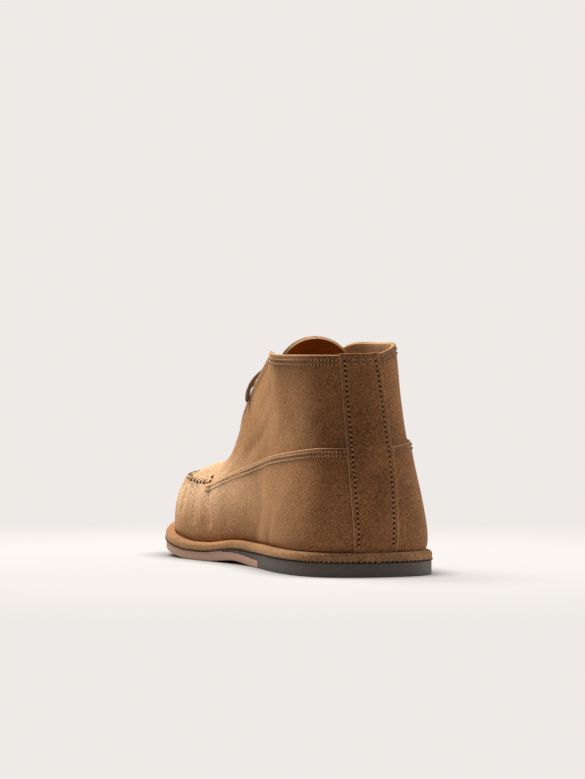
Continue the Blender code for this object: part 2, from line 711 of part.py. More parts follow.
def lace_run(name, knots, material):
    """One run of the lace: a tube along a smooth curve through its knots."""
    knots = np.array(knots)
    run = np.concatenate([[0.0], np.cumsum(np.linalg.norm(np.diff(knots, axis=0), axis=1))])
    at = np.linspace(0.0, run[-1], 15)
    slopes = np.gradient(knots, run, axis=0)
    cell = np.clip(np.searchsorted(run, at, side="right") - 1, 0, len(run) - 2)
    width = (run[cell + 1] - run[cell])[:, None]
    s = (at[:, None] - run[cell][:, None]) / width
    path = ((1 + 2 * s) * (1 - s) ** 2 * knots[cell] + s * (1 - s) ** 2 * width * slopes[cell]
            + s * s * (3 - 2 * s) * knots[cell + 1] + s * s * (s - 1) * width * slopes[cell + 1])
    return tube(name, path, LACE_DIAMETER, material)


def make_lace(material):
    """Bar between the lower eyelets and a crossing up to the upper ones, joined as one solid.

    The bar lies over both facings. Each crossing leaves over the lower facing and ends
    under the upper one, where its eyelet is.
    """
    upper, lower = LACE_T
    leave = lower + LACE_DRIFT * (upper - lower)
    other = {"in": "out", "out": "in"}
    bar = [by_facing(lower, "in", EYELET_INSET), by_facing(lower, "in", 0.0)]
    bar += [by_facing(lower, "out", 0.0), by_facing(lower, "out", EYELET_INSET)]
    lace = lace_run("lace", bar, material)
    for side in ("in", "out"):
        knots = [by_facing(lower, side, EYELET_INSET), by_facing(leave, side, 0.0),
                 by_facing(upper, other[side], 0.0, True),
                 by_facing(upper, other[side], EYELET_INSET, True)]
        crossing = lace_run("lace_from_" + side, knots, material)
        crossing.hide_render = True
        crossing.display_type = "WIRE"
        union = lace.modifiers.new("with_" + crossing.name, "BOOLEAN")
        union.operation = "UNION"
        union.object = crossing
    return lace


def make_material(name, colour, roughness, metallic=0.0):
    material = bpy.data.materials.new(name)
    material.use_nodes = True
    shader = material.node_tree.nodes["Principled BSDF"]
    shader.inputs["Base Color"].default_value = (*colour, 1.0)
    shader.inputs["Roughness"].default_value = roughness
    shader.inputs["Metallic"].default_value = metallic
    return material


def centre_on_sole(objects):
    """Put the origin under the middle of the sole's outline."""
    ring, _ = sole_edge(np.linspace(0.0, 1.0, 2 * COLUMNS + 1))
    middle = 0.5 * (ring.min(axis=0) + ring.max(axis=0))
    for obj in objects:
        obj.location = (-middle[0], -middle[1], 0.0)


def main():
    for obj in list(bpy.data.objects):
        bpy.data.objects.remove(obj, do_unlink=True)
    suede = make_material("suede", (0.30, 0.165, 0.08), 0.95)
    lining = make_material("lining", (0.20, 0.09, 0.04), 0.7)
    rubber = make_material("rubber", (0.10, 0.085, 0.075), 0.8)
    sole_leather = make_material("sole_leather", (0.32, 0.20, 0.15), 0.7)
    cord = make_material("cord", (0.28, 0.18, 0.11), 0.9)
    grid = build_grid()
    make_upper(grid, suede)
    make_mudguard(grid, suede)
    make_backstay(grid, suede)
    make_apron(grid, suede)
    make_tongue(suede)
    make_midsole(suede)
    make_heel(rubber)
    make_outsole(sole_leather)
    make_insole(lining)
    make_lace(cord)
    centre_on_sole(list(bpy.data.objects))
    bpy.context.view_layer.update()


main()
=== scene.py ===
# %% [markdown]
# # A moccasin-toe chukka boot in suede
#
# The boot is a right one, seen from behind and from its inner side. Its hard facts, such as
# lengths, heights and thicknesses, come packed as solids. This script dresses them: it cuts
# the same pieces finer, gives them raw edges, seams, stitches and creases, and builds the
# suede, the leather and the rubber from nodes. All lengths are metres, +Z is up, the toe
# points to +Y and the outer side of the boot to +X.

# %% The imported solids
import bmesh
import bpy
import numpy as np
from mathutils import Matrix, Vector


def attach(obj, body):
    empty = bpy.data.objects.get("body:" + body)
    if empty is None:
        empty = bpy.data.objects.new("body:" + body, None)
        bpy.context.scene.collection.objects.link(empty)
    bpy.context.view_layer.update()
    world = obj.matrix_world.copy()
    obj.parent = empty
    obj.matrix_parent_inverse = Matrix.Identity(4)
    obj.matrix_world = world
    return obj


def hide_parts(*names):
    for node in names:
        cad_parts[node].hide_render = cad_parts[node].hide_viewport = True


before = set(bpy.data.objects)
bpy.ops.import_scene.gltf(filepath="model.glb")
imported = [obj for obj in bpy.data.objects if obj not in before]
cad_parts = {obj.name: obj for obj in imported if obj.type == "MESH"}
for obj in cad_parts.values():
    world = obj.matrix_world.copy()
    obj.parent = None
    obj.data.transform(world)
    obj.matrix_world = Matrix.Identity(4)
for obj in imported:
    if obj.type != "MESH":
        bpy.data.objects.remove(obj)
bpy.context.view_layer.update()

# %% [markdown]
# ## Two functions that every piece is cut from
#
# A shoe upper is closed over a last, and its pieces are cut to lie on that one form. So all
# pieces here share it too: `sole_edge(t)` is the outline of the sole seen from above, and
# `form(t, b)` is the outside of the upper. t runs once round the boot, from the back of the
# heel (0) along the inner side to the toe tip (0.5) and back along the outer side (1). b
# runs from the sole (0) to the top edge (1). The tables hold shares of the named sizes, one
# row per section from heel to toe.

# %% Sizes of the boot
LENGTH = 0.2900
BALL_WIDTH = 0.1065
HEEL_WIDTH = 0.0820
COLLAR_WIDTH = 0.0635
COLLAR_HEIGHT = 0.1205
VAMP_HEIGHT = 0.0615
TOE_HEIGHT = 0.0530
FOXING_HEIGHT = 0.0698
SEAM_HEIGHT = 0.0446
WALL = 0.0024
CLEARANCE = 0.0003
MIDSOLE_THICKNESS = 0.0053
HEEL_REACH = 0.0065
TOE_REACH = 0.0070
HEEL_THICKNESS = 0.0077
OUTSOLE_THICKNESS = 0.0050
ARCH_RISE = 0.0020
TOE_SPRING = 0.0120
STAY_WIDTH = 0.0222

OUTLINE = np.array([
    # along_in  side_in  along_out  side_out  ball
    [0.000,     0.000,   0.000,     0.000,    0.00],
    [0.017,    -0.268,   0.017,     0.288,    0.00],
    [0.062,    -0.415,   0.062,     0.457,    0.00],
    [0.145,    -0.476,   0.145,     0.530,    0.00],
    [0.248,    -0.476,   0.259,     0.540,    0.00],
    [0.352,    -0.420,   0.366,     0.512,    0.20],
    [0.452,    -0.398,   0.472,     0.511,    0.45],
    [0.559,    -0.413,   0.572,     0.513,    0.75],
    [0.662,    -0.446,   0.662,     0.516,    1.00],
    [0.759,    -0.479,   0.748,     0.521,    1.00],
    [0.841,    -0.460,   0.831,     0.474,    1.00],
    [0.917,    -0.380,   0.907,     0.371,    1.00],
    [0.972,    -0.239,   0.969,     0.197,    1.00],
    [1.000,    -0.028,   1.000,    -0.028,    1.00],
])
TOP_IN = np.array([
    # along   side    rise   line
    [0.059,  -0.079,  2.000,  1.00],
    [0.067,  -0.283,  2.000,  1.00],
    [0.100,  -0.465,  2.000,  0.98],
    [0.172,  -0.551,  2.000,  0.90],
    [0.286,  -0.551,  2.015,  0.80],
    [0.397,  -0.394,  2.005,  0.66],
    [0.514,  -0.378,  1.690,  0.46],
    [0.628,  -0.300,  1.290,  0.22],
    [0.719,  -0.047,  1.000, -0.03],
    [0.757,  -0.047,  0.640,  0.00],
    [0.805,  -0.047,  0.390,  0.03],
    [0.846,  -0.047,  0.170,  0.06],
    [0.869,  -0.047,  0.050,  0.08],
    [0.879,  -0.047,  0.000,  0.09],
])
TOP_OUT = np.array([
    [0.059,  -0.079,  2.000,  1.00],
    [0.067,   0.126,  2.020,  1.05],
    [0.100,   0.307,  2.088,  1.12],
    [0.172,   0.417,  2.118,  1.16],
    [0.286,   0.441,  2.118,  1.08],
    [0.390,   0.307,  2.075,  0.86],
    [0.500,   0.276,  1.720,  0.58],
    [0.621,   0.205,  1.300,  0.28],
    [0.719,  -0.047,  1.000,  0.00],
    [0.757,  -0.047,  0.640,  0.00],
    [0.805,  -0.047,  0.390,  0.03],
    [0.846,  -0.047,  0.170,  0.06],
    [0.869,  -0.047,  0.050,  0.08],
    [0.879,  -0.047,  0.000,  0.09],
])
SECTION = np.array([
    # turn  full  swell   nip_in  nip_out
    [10.0,  2.0,  0.033,  0.033,  0.033],
    [10.0,  2.0,  0.040,  0.038,  0.046],
    [10.0,  2.0,  0.046,  0.042,  0.062],
    [12.0,  2.0,  0.048,  0.042,  0.070],
    [16.0,  2.0,  0.038,  0.028,  0.058],
    [34.0,  2.0,  0.023,  0.000,  0.019],
    [52.0,  2.3,  0.026,  0.000,  0.000],
    [72.0,  2.6,  0.022,  0.000,  0.000],
    [90.0,  2.9,  0.012,  0.000,  0.000],
    [90.0,  3.0,  0.008,  0.000,  0.000],
    [90.0,  2.9,  0.000,  0.000,  0.000],
    [90.0,  2.8,  0.000,  0.000,  0.000],
    [90.0,  3.3,  0.000,  0.000,  0.000],
    [90.0,  3.2,  0.000,  0.000,  0.000],
])
SWELL_AT = 0.22
SOLE_PROFILE = np.array([
    # along  arch  spring  heel
    [0.000,  0.00,  0.000,  1.00],
    [0.380,  0.00,  0.000,  1.00],
    [0.500,  1.00,  0.000,  0.45],
    [0.565,  0.50,  0.000,  0.22],
    [0.621,  0.00,  0.000,  0.06],
    [0.690,  0.00,  0.000,  0.00],
    [0.760,  0.00,  0.130,  0.00],
    [0.840,  0.00,  0.350,  0.00],
    [0.917,  0.00,  0.640,  0.00],
    [1.000,  0.00,  1.000,  0.00],
])
STEP = 1.0 / (2 * (len(OUTLINE) - 1))
BREAST_T = 5.0 * STEP
WEDGE_T = 6.8 * STEP
FRONT_T = 8.0 * STEP
print("table rows:", len(OUTLINE), "and one step of t is", round(STEP, 4))


# %% Curves through the tables
def ring_spline(values, t):
    """Periodic cubic B-spline through evenly spaced values, read at t (one turn is 1)."""
    values = np.asarray(values, float)
    count = len(values)
    index = np.arange(count)
    matrix = np.zeros((count, count))
    matrix[index, index] = 4.0
    matrix[index, (index + 1) % count] = 1.0
    matrix[index, (index - 1) % count] = 1.0
    weights = np.linalg.solve(matrix / 6.0, values)
    place = (np.asarray(t, float) % 1.0) * count
    cell = np.floor(place).astype(int) % count
    s = (place - np.floor(place))[:, None]
    basis = ((1 - s) ** 3, 3 * s ** 3 - 6 * s ** 2 + 4, -3 * s ** 3 + 3 * s ** 2 + 3 * s + 1, s ** 3)
    return sum(weights[(cell + k - 1) % count] * basis[k] for k in range(4)) / 6.0


def profile(stations, values, at):
    """Monotone cubic through a column of a table, level wherever two values are equal."""
    slopes = np.diff(values) / np.diff(stations)
    tangents = np.zeros(len(values))
    product = slopes[:-1] * slopes[1:]
    total = np.where(product > 0, slopes[:-1] + slopes[1:], 1.0)
    tangents[1:-1] = np.where(product > 0, 2 * product / total, 0.0)
    tangents[0] = slopes[0]
    tangents[-1] = slopes[-1]
    at = np.asarray(at, float)
    cell = np.clip(np.searchsorted(stations, at, side="right") - 1, 0, len(stations) - 2)
    width = stations[cell + 1] - stations[cell]
    s = np.clip((at - stations[cell]) / width, 0.0, 1.0)
    return ((1 + 2 * s) * (1 - s) ** 2 * values[cell] + s * (1 - s) ** 2 * width * tangents[cell]
            + s * s * (3 - 2 * s) * values[cell + 1] + s * s * (s - 1) * width * tangents[cell + 1])


def ring(inner, outer):
    """Inner rows heel to toe, then outer rows back to the heel, as one closed ring."""
    return np.vstack([inner, outer[-2:0:-1]])


BALL = OUTLINE[:, 4]
ROW_WIDTH = HEEL_WIDTH * (1 - BALL) + BALL_WIDTH * BALL
OUTLINE_RING = ring(np.column_stack([OUTLINE[:, 1] * ROW_WIDTH, OUTLINE[:, 0] * LENGTH]),
                    np.column_stack([OUTLINE[:, 3] * ROW_WIDTH, OUTLINE[:, 2] * LENGTH]))
turn_of_outline = ring_spline(OUTLINE_RING, np.linspace(0.0, 1.0, 61))
CENTRE = 0.5 * (turn_of_outline.min(axis=0) + turn_of_outline.max(axis=0))
print("origin lies", np.round(CENTRE * 1000, 2).tolist(), "mm from the heel's back")


# %% The sole's outline and heights
def sole_edge(t, inset=0.0):
    """Outline of the platform from above, moved inwards by inset along its normal."""
    t = np.asarray(t, float)
    point = ring_spline(OUTLINE_RING, t)
    tangent = ring_spline(OUTLINE_RING, t + 1e-4) - ring_spline(OUTLINE_RING, t - 1e-4)
    tangent /= np.linalg.norm(tangent, axis=1)[:, None]
    outward = np.column_stack([-tangent[:, 1], tangent[:, 0]])
    return point - outward * np.broadcast_to(inset, t.shape)[:, None], outward


def sole_bottom(y):
    """Underside of the sole: the arch's rise plus the toe's spring, at a length y."""
    share = np.asarray(y) / LENGTH
    return (ARCH_RISE * profile(SOLE_PROFILE[:, 0], SOLE_PROFILE[:, 1], share)
            + TOE_SPRING * profile(SOLE_PROFILE[:, 0], SOLE_PROFILE[:, 2], share))


def sole_top(y):
    """Top of heel and outsole: the underside plus a thickness that grows towards the heel."""
    heel = profile(SOLE_PROFILE[:, 0], SOLE_PROFILE[:, 3], np.asarray(y) / LENGTH)
    return sole_bottom(y) + OUTSOLE_THICKNESS + (HEEL_THICKNESS - OUTSOLE_THICKNESS) * heel


def platform_top(y):
    return sole_top(y) + CLEARANCE + MIDSOLE_THICKNESS


def reach(t):
    """How far the platform stands beyond the upper: HEEL_REACH behind, TOE_REACH in front."""
    forward = 0.5 - 0.5 * np.cos(2 * np.pi * t)
    return HEEL_REACH + (TOE_REACH - HEEL_REACH) * np.clip(1.6 * forward - 0.4, 0.0, 1.0)


# %% The upper's form
def height(rise):
    """Height for a rise of 0 at the toe, 1 at the throat's end and 2 at the collar."""
    low = TOE_HEIGHT + (VAMP_HEIGHT - TOE_HEIGHT) * np.minimum(rise, 1.0)
    return low + (COLLAR_HEIGHT - VAMP_HEIGHT) * np.maximum(rise - 1.0, 0.0)


def section_side(top, nip):
    return np.column_stack([
        top[:, 1] * COLLAR_WIDTH, top[:, 0] * LENGTH, height(top[:, 2]),
        SEAM_HEIGHT + (FOXING_HEIGHT - SEAM_HEIGHT) * top[:, 3],
        np.radians(SECTION[:, 0]), SECTION[:, 1], SECTION[:, 2] * BALL_WIDTH,
        SECTION[:, nip] * BALL_WIDTH])


SECTION_RING = ring(section_side(TOP_IN, 3), section_side(TOP_OUT, 4))


def section_at(t):
    columns = ring_spline(SECTION_RING, t).T
    columns[4] = np.clip(columns[4], np.radians(5.0), np.radians(90.0))
    return columns


def form(t, b):
    """Outside of the upper: a leaning, boxy section from the feather line to the top edge.

    Upwards it follows sin(turn b) and inwards 1 - cos(turn b), both to the power
    2 / full and scaled to end at 1. The counter's bulge and the hollow above it are
    two sine waves that move it along the outline's outward direction.
    """
    top_x, top_y, top_z, _, turn, full, swell, nip = section_at(t)
    foot, outward = sole_edge(t, reach(t))
    foot_z = platform_top(foot[:, 1]) + CLEARANCE
    up = (np.sin(turn * b) / np.sin(turn)) ** (2 / full)
    across = (1 - np.cos(turn * b) ** (2 / full)) / (1 - np.cos(turn) ** (2 / full))
    share = np.clip(up, 0.0, 1.0)
    wave = swell * np.sin(np.pi * share ** (np.log(0.5) / np.log(SWELL_AT)))
    wave -= nip * np.sin(np.pi * share)
    plan = foot + (np.column_stack([top_x, top_y]) - foot) * across[:, None]
    plan += outward * wave[:, None] - CENTRE
    return np.column_stack([plan, foot_z + (top_z - foot_z) * up])


def seam_share(t):
    """b of the mudguard's top edge: the section's height formula solved for b."""
    _, _, top_z, line_z, turn, full, _, _ = section_at(t)
    foot, _ = sole_edge(t, reach(t))
    foot_z = platform_top(foot[:, 1]) + CLEARANCE
    up = np.clip((line_z - foot_z) / (top_z - foot_z), 0.02, 0.98)
    return np.arcsin(up ** (full / 2) * np.sin(turn)) / turn


def outwards(t, b):
    """Outward unit normals of form(t, b), from central differences."""
    h = 1e-4
    b = np.clip(b, 2 * h, 0.985)
    normal = np.cross(form(t, b + h) - form(t, b - h), form(t + h, b) - form(t - h, b))
    return normal / np.linalg.norm(normal, axis=1)[:, None]


def speed_up(t, b):
    """Metres of surface per unit of b."""
    return np.linalg.norm(form(t, np.clip(b, 1e-3, 0.999) + 1e-3)
                          - form(t, np.clip(b, 1e-3, 0.999) - 1e-3), axis=1) / 2e-3


def speed_along(t, b):
    """Metres of surface per unit of t."""
    return np.linalg.norm(form(t + 1e-4, b) - form(t - 1e-4, b), axis=1) / 2e-4


def on_form(t, b, lift):
    """Points at lift above the form; t, b and lift are arrays of one shape."""
    t, b, lift = np.broadcast_arrays(t, b, lift)
    flat_t, flat_b = t.ravel(), np.clip(b.ravel(), 1e-4, 1.0)
    past = np.maximum(b.ravel() - 1.0, 0.0) * speed_up(flat_t, np.ones_like(flat_t))
    below = np.maximum(1e-4 - b.ravel(), 0.0) * speed_up(flat_t, np.zeros_like(flat_t))
    point = form(flat_t, flat_b)
    rising = form(flat_t, np.clip(flat_b, 1e-3, 0.999) + 1e-3) - form(flat_t, np.clip(flat_b, 1e-3, 0.999) - 1e-3)
    rising /= np.linalg.norm(rising, axis=1)[:, None]
    point += rising * (past - below)[:, None] + outwards(flat_t, flat_b) * lift.ravel()[:, None]
    return point.reshape(*t.shape, 3)


heel_back = on_form(np.array([0.0]), np.array([0.5]), np.array([0.0]))
print("the form's heel at half height lies at", np.round(heel_back[0], 4).tolist())

# %% [markdown]
# ## From arrays to meshes
#
# A piece of leather is a closed skin: its grain side, a rounded cut edge, its flesh side and
# the edge again. So a piece is made as one closed loop of points at each station, and the
# loops are joined to quads. The same helper makes every piece. It also stores three numbers at
# each point, which the finishes read later: `cut`, how much of a raw edge the point is,
# `shade`, how much painted shade it gets as it lies deep in creases (on the sole pieces, their
# paler line near the floor), and `nap`, its share of paler nap, partly from brushing and partly
# a painted highlight.


# %% Helpers that make meshes
def weld(mesh):
    """Merge points that lie on each other, as at a slab's heel and toe, and drop empty faces."""
    work = bmesh.new()
    work.from_mesh(mesh)
    bmesh.ops.remove_doubles(work, verts=work.verts, dist=2e-6)
    work.to_mesh(mesh)
    work.free()


def nap_and_painted_highlight(points):
    """Share of paler nap at each point, most on the inner side of the toe: partly nap raised by
    brushing, partly a painted highlight where the light falls on the inner toe.

    It rises from nothing behind the instep to its full share before the toe. It is a band
    at half the mudguard's height and the whole of the apron, and fades to the outer side.
    """
    x, y, z = points.T
    ahead = np.clip((y - HIGHLIGHT_FROM) / (HIGHLIGHT_FULL - HIGHLIGHT_FROM), 0, 1)
    band = np.exp(-((z - HIGHLIGHT_HEIGHT) / 0.017) ** 2)
    crown = 0.4 * np.clip((z - 0.050) / 0.012, 0, 1) * np.clip((y - 0.035) / 0.050, 0, 1)
    low = np.clip(band + crown, 0, 1)
    inner = np.clip(0.6 - x / 0.06, 0, 1)
    return ahead ** 2 * (3 - 2 * ahead) * low * inner


# Where the paler nap, partly a painted highlight, starts, where it is full, and its height.
HIGHLIGHT_FROM = -0.070
HIGHLIGHT_FULL = 0.080
HIGHLIGHT_HEIGHT = 0.044


def make_piece(name, points, quads, material, cut=None, shade=None):
    """Closed mesh from an array of points and an array of quads, with faces outwards."""
    points = np.asarray(points, float).reshape(-1, 3)
    quads = np.asarray(quads, np.int32)
    a, b, c, d = (points[quads[:, k]] for k in range(4))
    volume = np.einsum("ij,ij->i", a, np.cross(b, c)).sum() + np.einsum("ij,ij->i", a, np.cross(c, d)).sum()
    if volume < 0:
        quads = quads[:, ::-1]
    mesh = bpy.data.meshes.new(name)
    mesh.from_pydata(points, [], quads.tolist())
    # cut marks raw edges; shade is painted shade in creases (on the sole pieces, their paler line near the floor);
    # nap is the paler nap, partly from brushing and partly a painted highlight.
    for key, values in (("cut", cut), ("shade", shade), ("nap", nap_and_painted_highlight(points))):
        layer = mesh.attributes.new(key, "FLOAT", "POINT")
        data = np.zeros(len(points), np.float32) if values is None else np.asarray(values, np.float32).ravel()
        layer.data.foreach_set("value", data)
    weld(mesh)
    mesh.shade_smooth()
    piece = bpy.data.objects.new(name, mesh)
    bpy.context.scene.collection.objects.link(piece)
    mesh.materials.append(material)
    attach(piece, "root")
    return piece


def loft_quads(stations, around, close_stations=False, caps=True):
    """Quads between loops of points; around is the number of points in each loop.

    The loops close on themselves. Open ends are capped with quads between the two halves
    of the loop, which run beside each other.
    """
    i = np.arange(stations if close_stations else stations - 1)
    j = np.arange(around)
    i, j = np.meshgrid(i, j, indexing="ij")
    i2, j2 = (i + 1) % stations, (j + 1) % around
    quads = np.stack([i * around + j, i2 * around + j, i2 * around + j2, i * around + j2], axis=-1).reshape(-1, 4)
    if caps and not close_stations:
        k = np.arange(around // 2 - 1)
        strip = np.stack([k, k + 1, around - 2 - k, around - 1 - k], axis=-1)
        quads = np.vstack([quads, strip[:, ::-1], strip + (stations - 1) * around])
    return quads


def skin_loop(low, high, bottom, top, count, edge_low, edge_high):
    """One loop per station through (place, lift): grain side, cut edge, flesh side, cut edge.

    low and high are the ends of the place along the loop, bottom and top the lifts. The
    edges are half circles in 7 points; edge_low and edge_high are their reach in units of
    the place. Returns place, lift and the share of cut edge, as (stations, points) arrays.
    """
    share = np.linspace(0.0, 1.0, count)[None]
    angle = np.linspace(np.pi / 2, -np.pi / 2, 7)[None]
    low, high, bottom, top, edge_low, edge_high = (
        np.atleast_1d(v)[:, None] for v in np.broadcast_arrays(low, high, bottom, top, edge_low, edge_high))
    start, end = low + edge_low, high - edge_high
    middle, half = (bottom + top) / 2, (top - bottom) / 2
    over = start + (end - start) * share
    place = np.hstack([over, end + edge_high * np.cos(angle[:, 1:-1]), over[:, ::-1],
                       start - edge_low * np.cos(angle[:, 1:-1])])
    lift = np.hstack([top + 0 * over, middle + half * np.sin(angle[:, 1:-1]), bottom + 0 * over,
                      middle - half * np.sin(angle[:, 1:-1])])
    side = np.zeros(count)
    cut = np.concatenate([side, np.ones(5), side, np.ones(5)])
    return place, lift, np.broadcast_to(cut, place.shape)


def noise_field(u, v, seed, octaves=3):
    """Smooth noise between about -1 and 1: a sum of sine products with hashed phases."""
    rng = np.random.default_rng(seed)
    total = np.zeros(np.broadcast(u, v).shape)
    for octave in range(octaves):
        scale = 2.0 ** octave
        for _ in range(3):
            a, b, p, q = rng.uniform(-1, 1, 4)
            total += np.sin(scale * (u * (1.2 + a) + v * b * 1.5) + 7 * p) \
                * np.sin(scale * (v * (1.2 + b) - u * a * 1.5) + 7 * q) / scale
    return total / 4.5


# %% [markdown]
# ## Camera, floor and light
#
# The photograph is taken from behind the inner heel with a long lens, almost level with the
# collar. The camera is placed by four measured values: the angle to the boot's length, the
# distance, the height of the lens and the pixel where the heel's back stands on the floor.

# %% The camera
PHOTO_WIDTH, PHOTO_HEIGHT = 585, 779
VIEW_ANGLE = np.radians(18.0)
CAMERA_DISTANCE = 2.0
CAMERA_HEIGHT = 0.124
PIXELS_PER_METRE = 1850.0
HEEL_PIXEL_X = 378.0
HORIZON_ROW = 348.35

ahead = np.array([np.sin(VIEW_ANGLE), np.cos(VIEW_ANGLE), 0.0])
aside = np.array([np.cos(VIEW_ANGLE), -np.sin(VIEW_ANGLE), 0.0])
focal_pixels = PIXELS_PER_METRE * CAMERA_DISTANCE
tilt = np.arctan((PHOTO_HEIGHT / 2 - HORIZON_ROW) / focal_pixels)
shift_aside = (HEEL_PIXEL_X - PHOTO_WIDTH / 2) / PIXELS_PER_METRE
eye = -CAMERA_DISTANCE * ahead - shift_aside * aside + np.array([0.0, 0.0, CAMERA_HEIGHT])
eye[:2] -= CENTRE
sight = ahead * np.cos(tilt) - np.array([0.0, 0.0, np.sin(tilt)])
upward = np.cross(aside, sight)

lens = bpy.data.cameras.new("camera")
lens.sensor_width = 36.0
lens.lens = focal_pixels * lens.sensor_width / PHOTO_HEIGHT
lens.clip_end = 30.0
camera = bpy.data.objects.new("camera", lens)
camera.matrix_world = Matrix.Translation(Vector(eye)) @ Matrix(np.column_stack([aside, upward, -sight])).to_4x4()
bpy.context.scene.collection.objects.link(camera)
bpy.context.scene.camera = camera
print("camera at", np.round(eye, 3).tolist(), "lens", round(lens.lens, 1), "mm")


# %% Small helpers for nodes
def new_material(name, roughness=0.8, sheen=0.0, sheen_tint=(1, 1, 1), specular=0.5):
    """A material with a Principled BSDF whose constant values sit on its own sockets."""
    material = bpy.data.materials.new(name)
    material.use_nodes = True
    shader = material.node_tree.nodes["Principled BSDF"]
    shader.inputs["Roughness"].default_value = roughness
    shader.inputs["Sheen Weight"].default_value = sheen
    shader.inputs["Sheen Roughness"].default_value = 0.45
    shader.inputs["Sheen Tint"].default_value = (*sheen_tint, 1.0)
    shader.inputs["Specular IOR Level"].default_value = specular
    return material, material.node_tree, shader


def add_node(tree, kind, inputs=None, **settings):
    """A node of one kind with its settings, its values and its links given in one call."""
    node = tree.nodes.new(kind)
    for key, value in settings.items():
        setattr(node, key, value)
    for key, value in (inputs or {}).items():
        if isinstance(value, bpy.types.NodeSocket):
            tree.links.new(value, node.inputs[key])
        else:
            node.inputs[key].default_value = value
    return node


def math_node(tree, operation, a, b=0.0, clamp=False):
    return add_node(tree, "ShaderNodeMath", {0: a, 1: b}, operation=operation, use_clamp=clamp).outputs[0]


def mix_colour(tree, factor, a, b, blend="MIX"):
    node = tree.nodes.new("ShaderNodeMix")
    node.data_type = "RGBA"
    node.blend_type = blend
    for index, value in ((0, factor), (6, a), (7, b)):
        if isinstance(value, bpy.types.NodeSocket):
            tree.links.new(value, node.inputs[index])
        else:
            node.inputs[index].default_value = value
    return node.outputs[2]


def ramp(tree, factor, low, high):
    """A factor stretched from low..high to 0..1."""
    node = add_node(tree, "ShaderNodeMapRange", {"Value": factor, "From Min": low, "From Max": high})
    node.clamp = True
    return node.outputs["Result"]


def new_group(name, inputs, outputs):
    """A shader node group with named sockets, and its input and output nodes."""
    group = bpy.data.node_groups.new(name, "ShaderNodeTree")
    for key, kind, value in inputs:
        socket = group.interface.new_socket(key, in_out="INPUT", socket_type=kind)
        socket.default_value = value
    for key, kind in outputs:
        group.interface.new_socket(key, in_out="OUTPUT", socket_type=kind)
    return group, group.nodes.new("NodeGroupInput"), group.nodes.new("NodeGroupOutput")


# %% The floor and the light
def make_floor():
    """Pale disc under the boot that fades into the background, so no horizon shows."""
    material, tree, shader = new_material("floor", roughness=0.9, specular=0.1)
    shader.inputs["Base Color"].default_value = (*FLOOR_COLOUR, 1.0)
    # Painted contact shadow: the floor's glow darkens where ambient occlusion finds the boot near.
    open_share = add_node(tree, "ShaderNodeAmbientOcclusion", {"Distance": PAINTED_SHADOW_REACH}).outputs["AO"]
    painted_contact_shadow = math_node(tree, "POWER", open_share, 1.6)
    glow_with_painted_shadow = mix_colour(tree, painted_contact_shadow, (0.0, 0.0, 0.0, 1.0), (*BACKGROUND, 1.0))
    tree.links.new(glow_with_painted_shadow, shader.inputs["Emission Color"])
    shader.inputs["Emission Strength"].default_value = FLOOR_GLOW
    where = add_node(tree, "ShaderNodeTexCoord").outputs["Object"]
    far = add_node(tree, "ShaderNodeVectorMath", {0: where}, operation="LENGTH").outputs["Value"]
    fade = add_node(tree, "ShaderNodeMapRange", {"Value": far, "From Min": 0.15, "From Max": 0.55,
                                                 "To Min": 1.0, "To Max": 0.0}, interpolation_type="SMOOTHSTEP")
    tree.links.new(fade.outputs["Result"], shader.inputs["Alpha"])
    angle = np.linspace(0, 2 * np.pi, 97)[:-1]
    points = np.vstack([[[0, 0, 0]], np.column_stack([1.2 * np.cos(angle), 1.2 * np.sin(angle), 0 * angle])])
    faces = [(0, k + 1, (k + 1) % 96 + 1) for k in range(96)]
    mesh = bpy.data.meshes.new("floor")
    mesh.from_pydata(points, [], faces)
    mesh.materials.append(material)
    floor = bpy.data.objects.new("floor", mesh)
    bpy.context.scene.collection.objects.link(floor)


FLOOR_COLOUR = (0.12, 0.116, 0.112)
FLOOR_GLOW = 0.81
# Reach of the painted contact shadow.
PAINTED_SHADOW_REACH = 0.020
BACKGROUND = (0.855, 0.823, 0.799)
AMBIENT = 0.16


def make_world():
    """Pale backdrop for the camera, and a weaker even light for the boot."""
    world = bpy.data.worlds.new("studio")
    world.use_nodes = True
    tree = world.node_tree
    backdrop = tree.nodes["Background"]
    backdrop.inputs["Color"].default_value = (*BACKGROUND, 1.0)
    fill = add_node(tree, "ShaderNodeBackground", {"Color": (1.0, 0.98, 0.96, 1.0), "Strength": AMBIENT})
    seen = add_node(tree, "ShaderNodeLightPath").outputs["Is Camera Ray"]
    mix = add_node(tree, "ShaderNodeMixShader", {0: seen, 1: fill.outputs[0], 2: backdrop.outputs[0]})
    tree.links.new(mix.outputs[0], tree.nodes["World Output"].inputs["Surface"])
    bpy.context.scene.world = world


def area_light(name, offset, size, power, colour=(1, 1, 1)):
    """Square softbox at offset (aside, ahead, up) from the boot's middle, aimed at it."""
    lamp = bpy.data.lights.new(name, "AREA")
    lamp.size = size
    lamp.energy = power
    lamp.color = colour
    light = bpy.data.objects.new(name, lamp)
    target = Vector((0.0, 0.0, 0.06))
    place = Vector(aside * offset[0] + ahead * offset[1]) + Vector((0, 0, offset[2]))
    light.matrix_world = Matrix.Translation(place) @ (target - place).to_track_quat("-Z", "Y").to_matrix().to_4x4()
    bpy.context.scene.collection.objects.link(light)


make_floor()
make_world()
area_light("key", (-0.42, 0.42, 1.15), 0.5, 31.0, (1.0, 0.95, 0.87))
area_light("top", (0.0, -0.1, 1.6), 0.9, 5.0)
area_light("right", (1.3, 0.45, 0.6), 0.7, 13.0)
bpy.context.scene.view_settings.view_transform = "Standard"

# %% [markdown]
# ## Suede, leather, thread and rubber
#
# Suede is leather sanded on its flesh side: a short nap that lies unevenly, so it shows pale
# and dark flecks well under a millimetre across, cloudy patches where a hand has brushed it,
# and a soft rim of light. One node group makes those flecks and clouds for every suede
# piece. The shader itself, with its sheen, stays in the material. Object coordinates keep
# the grain at one real size on every piece.


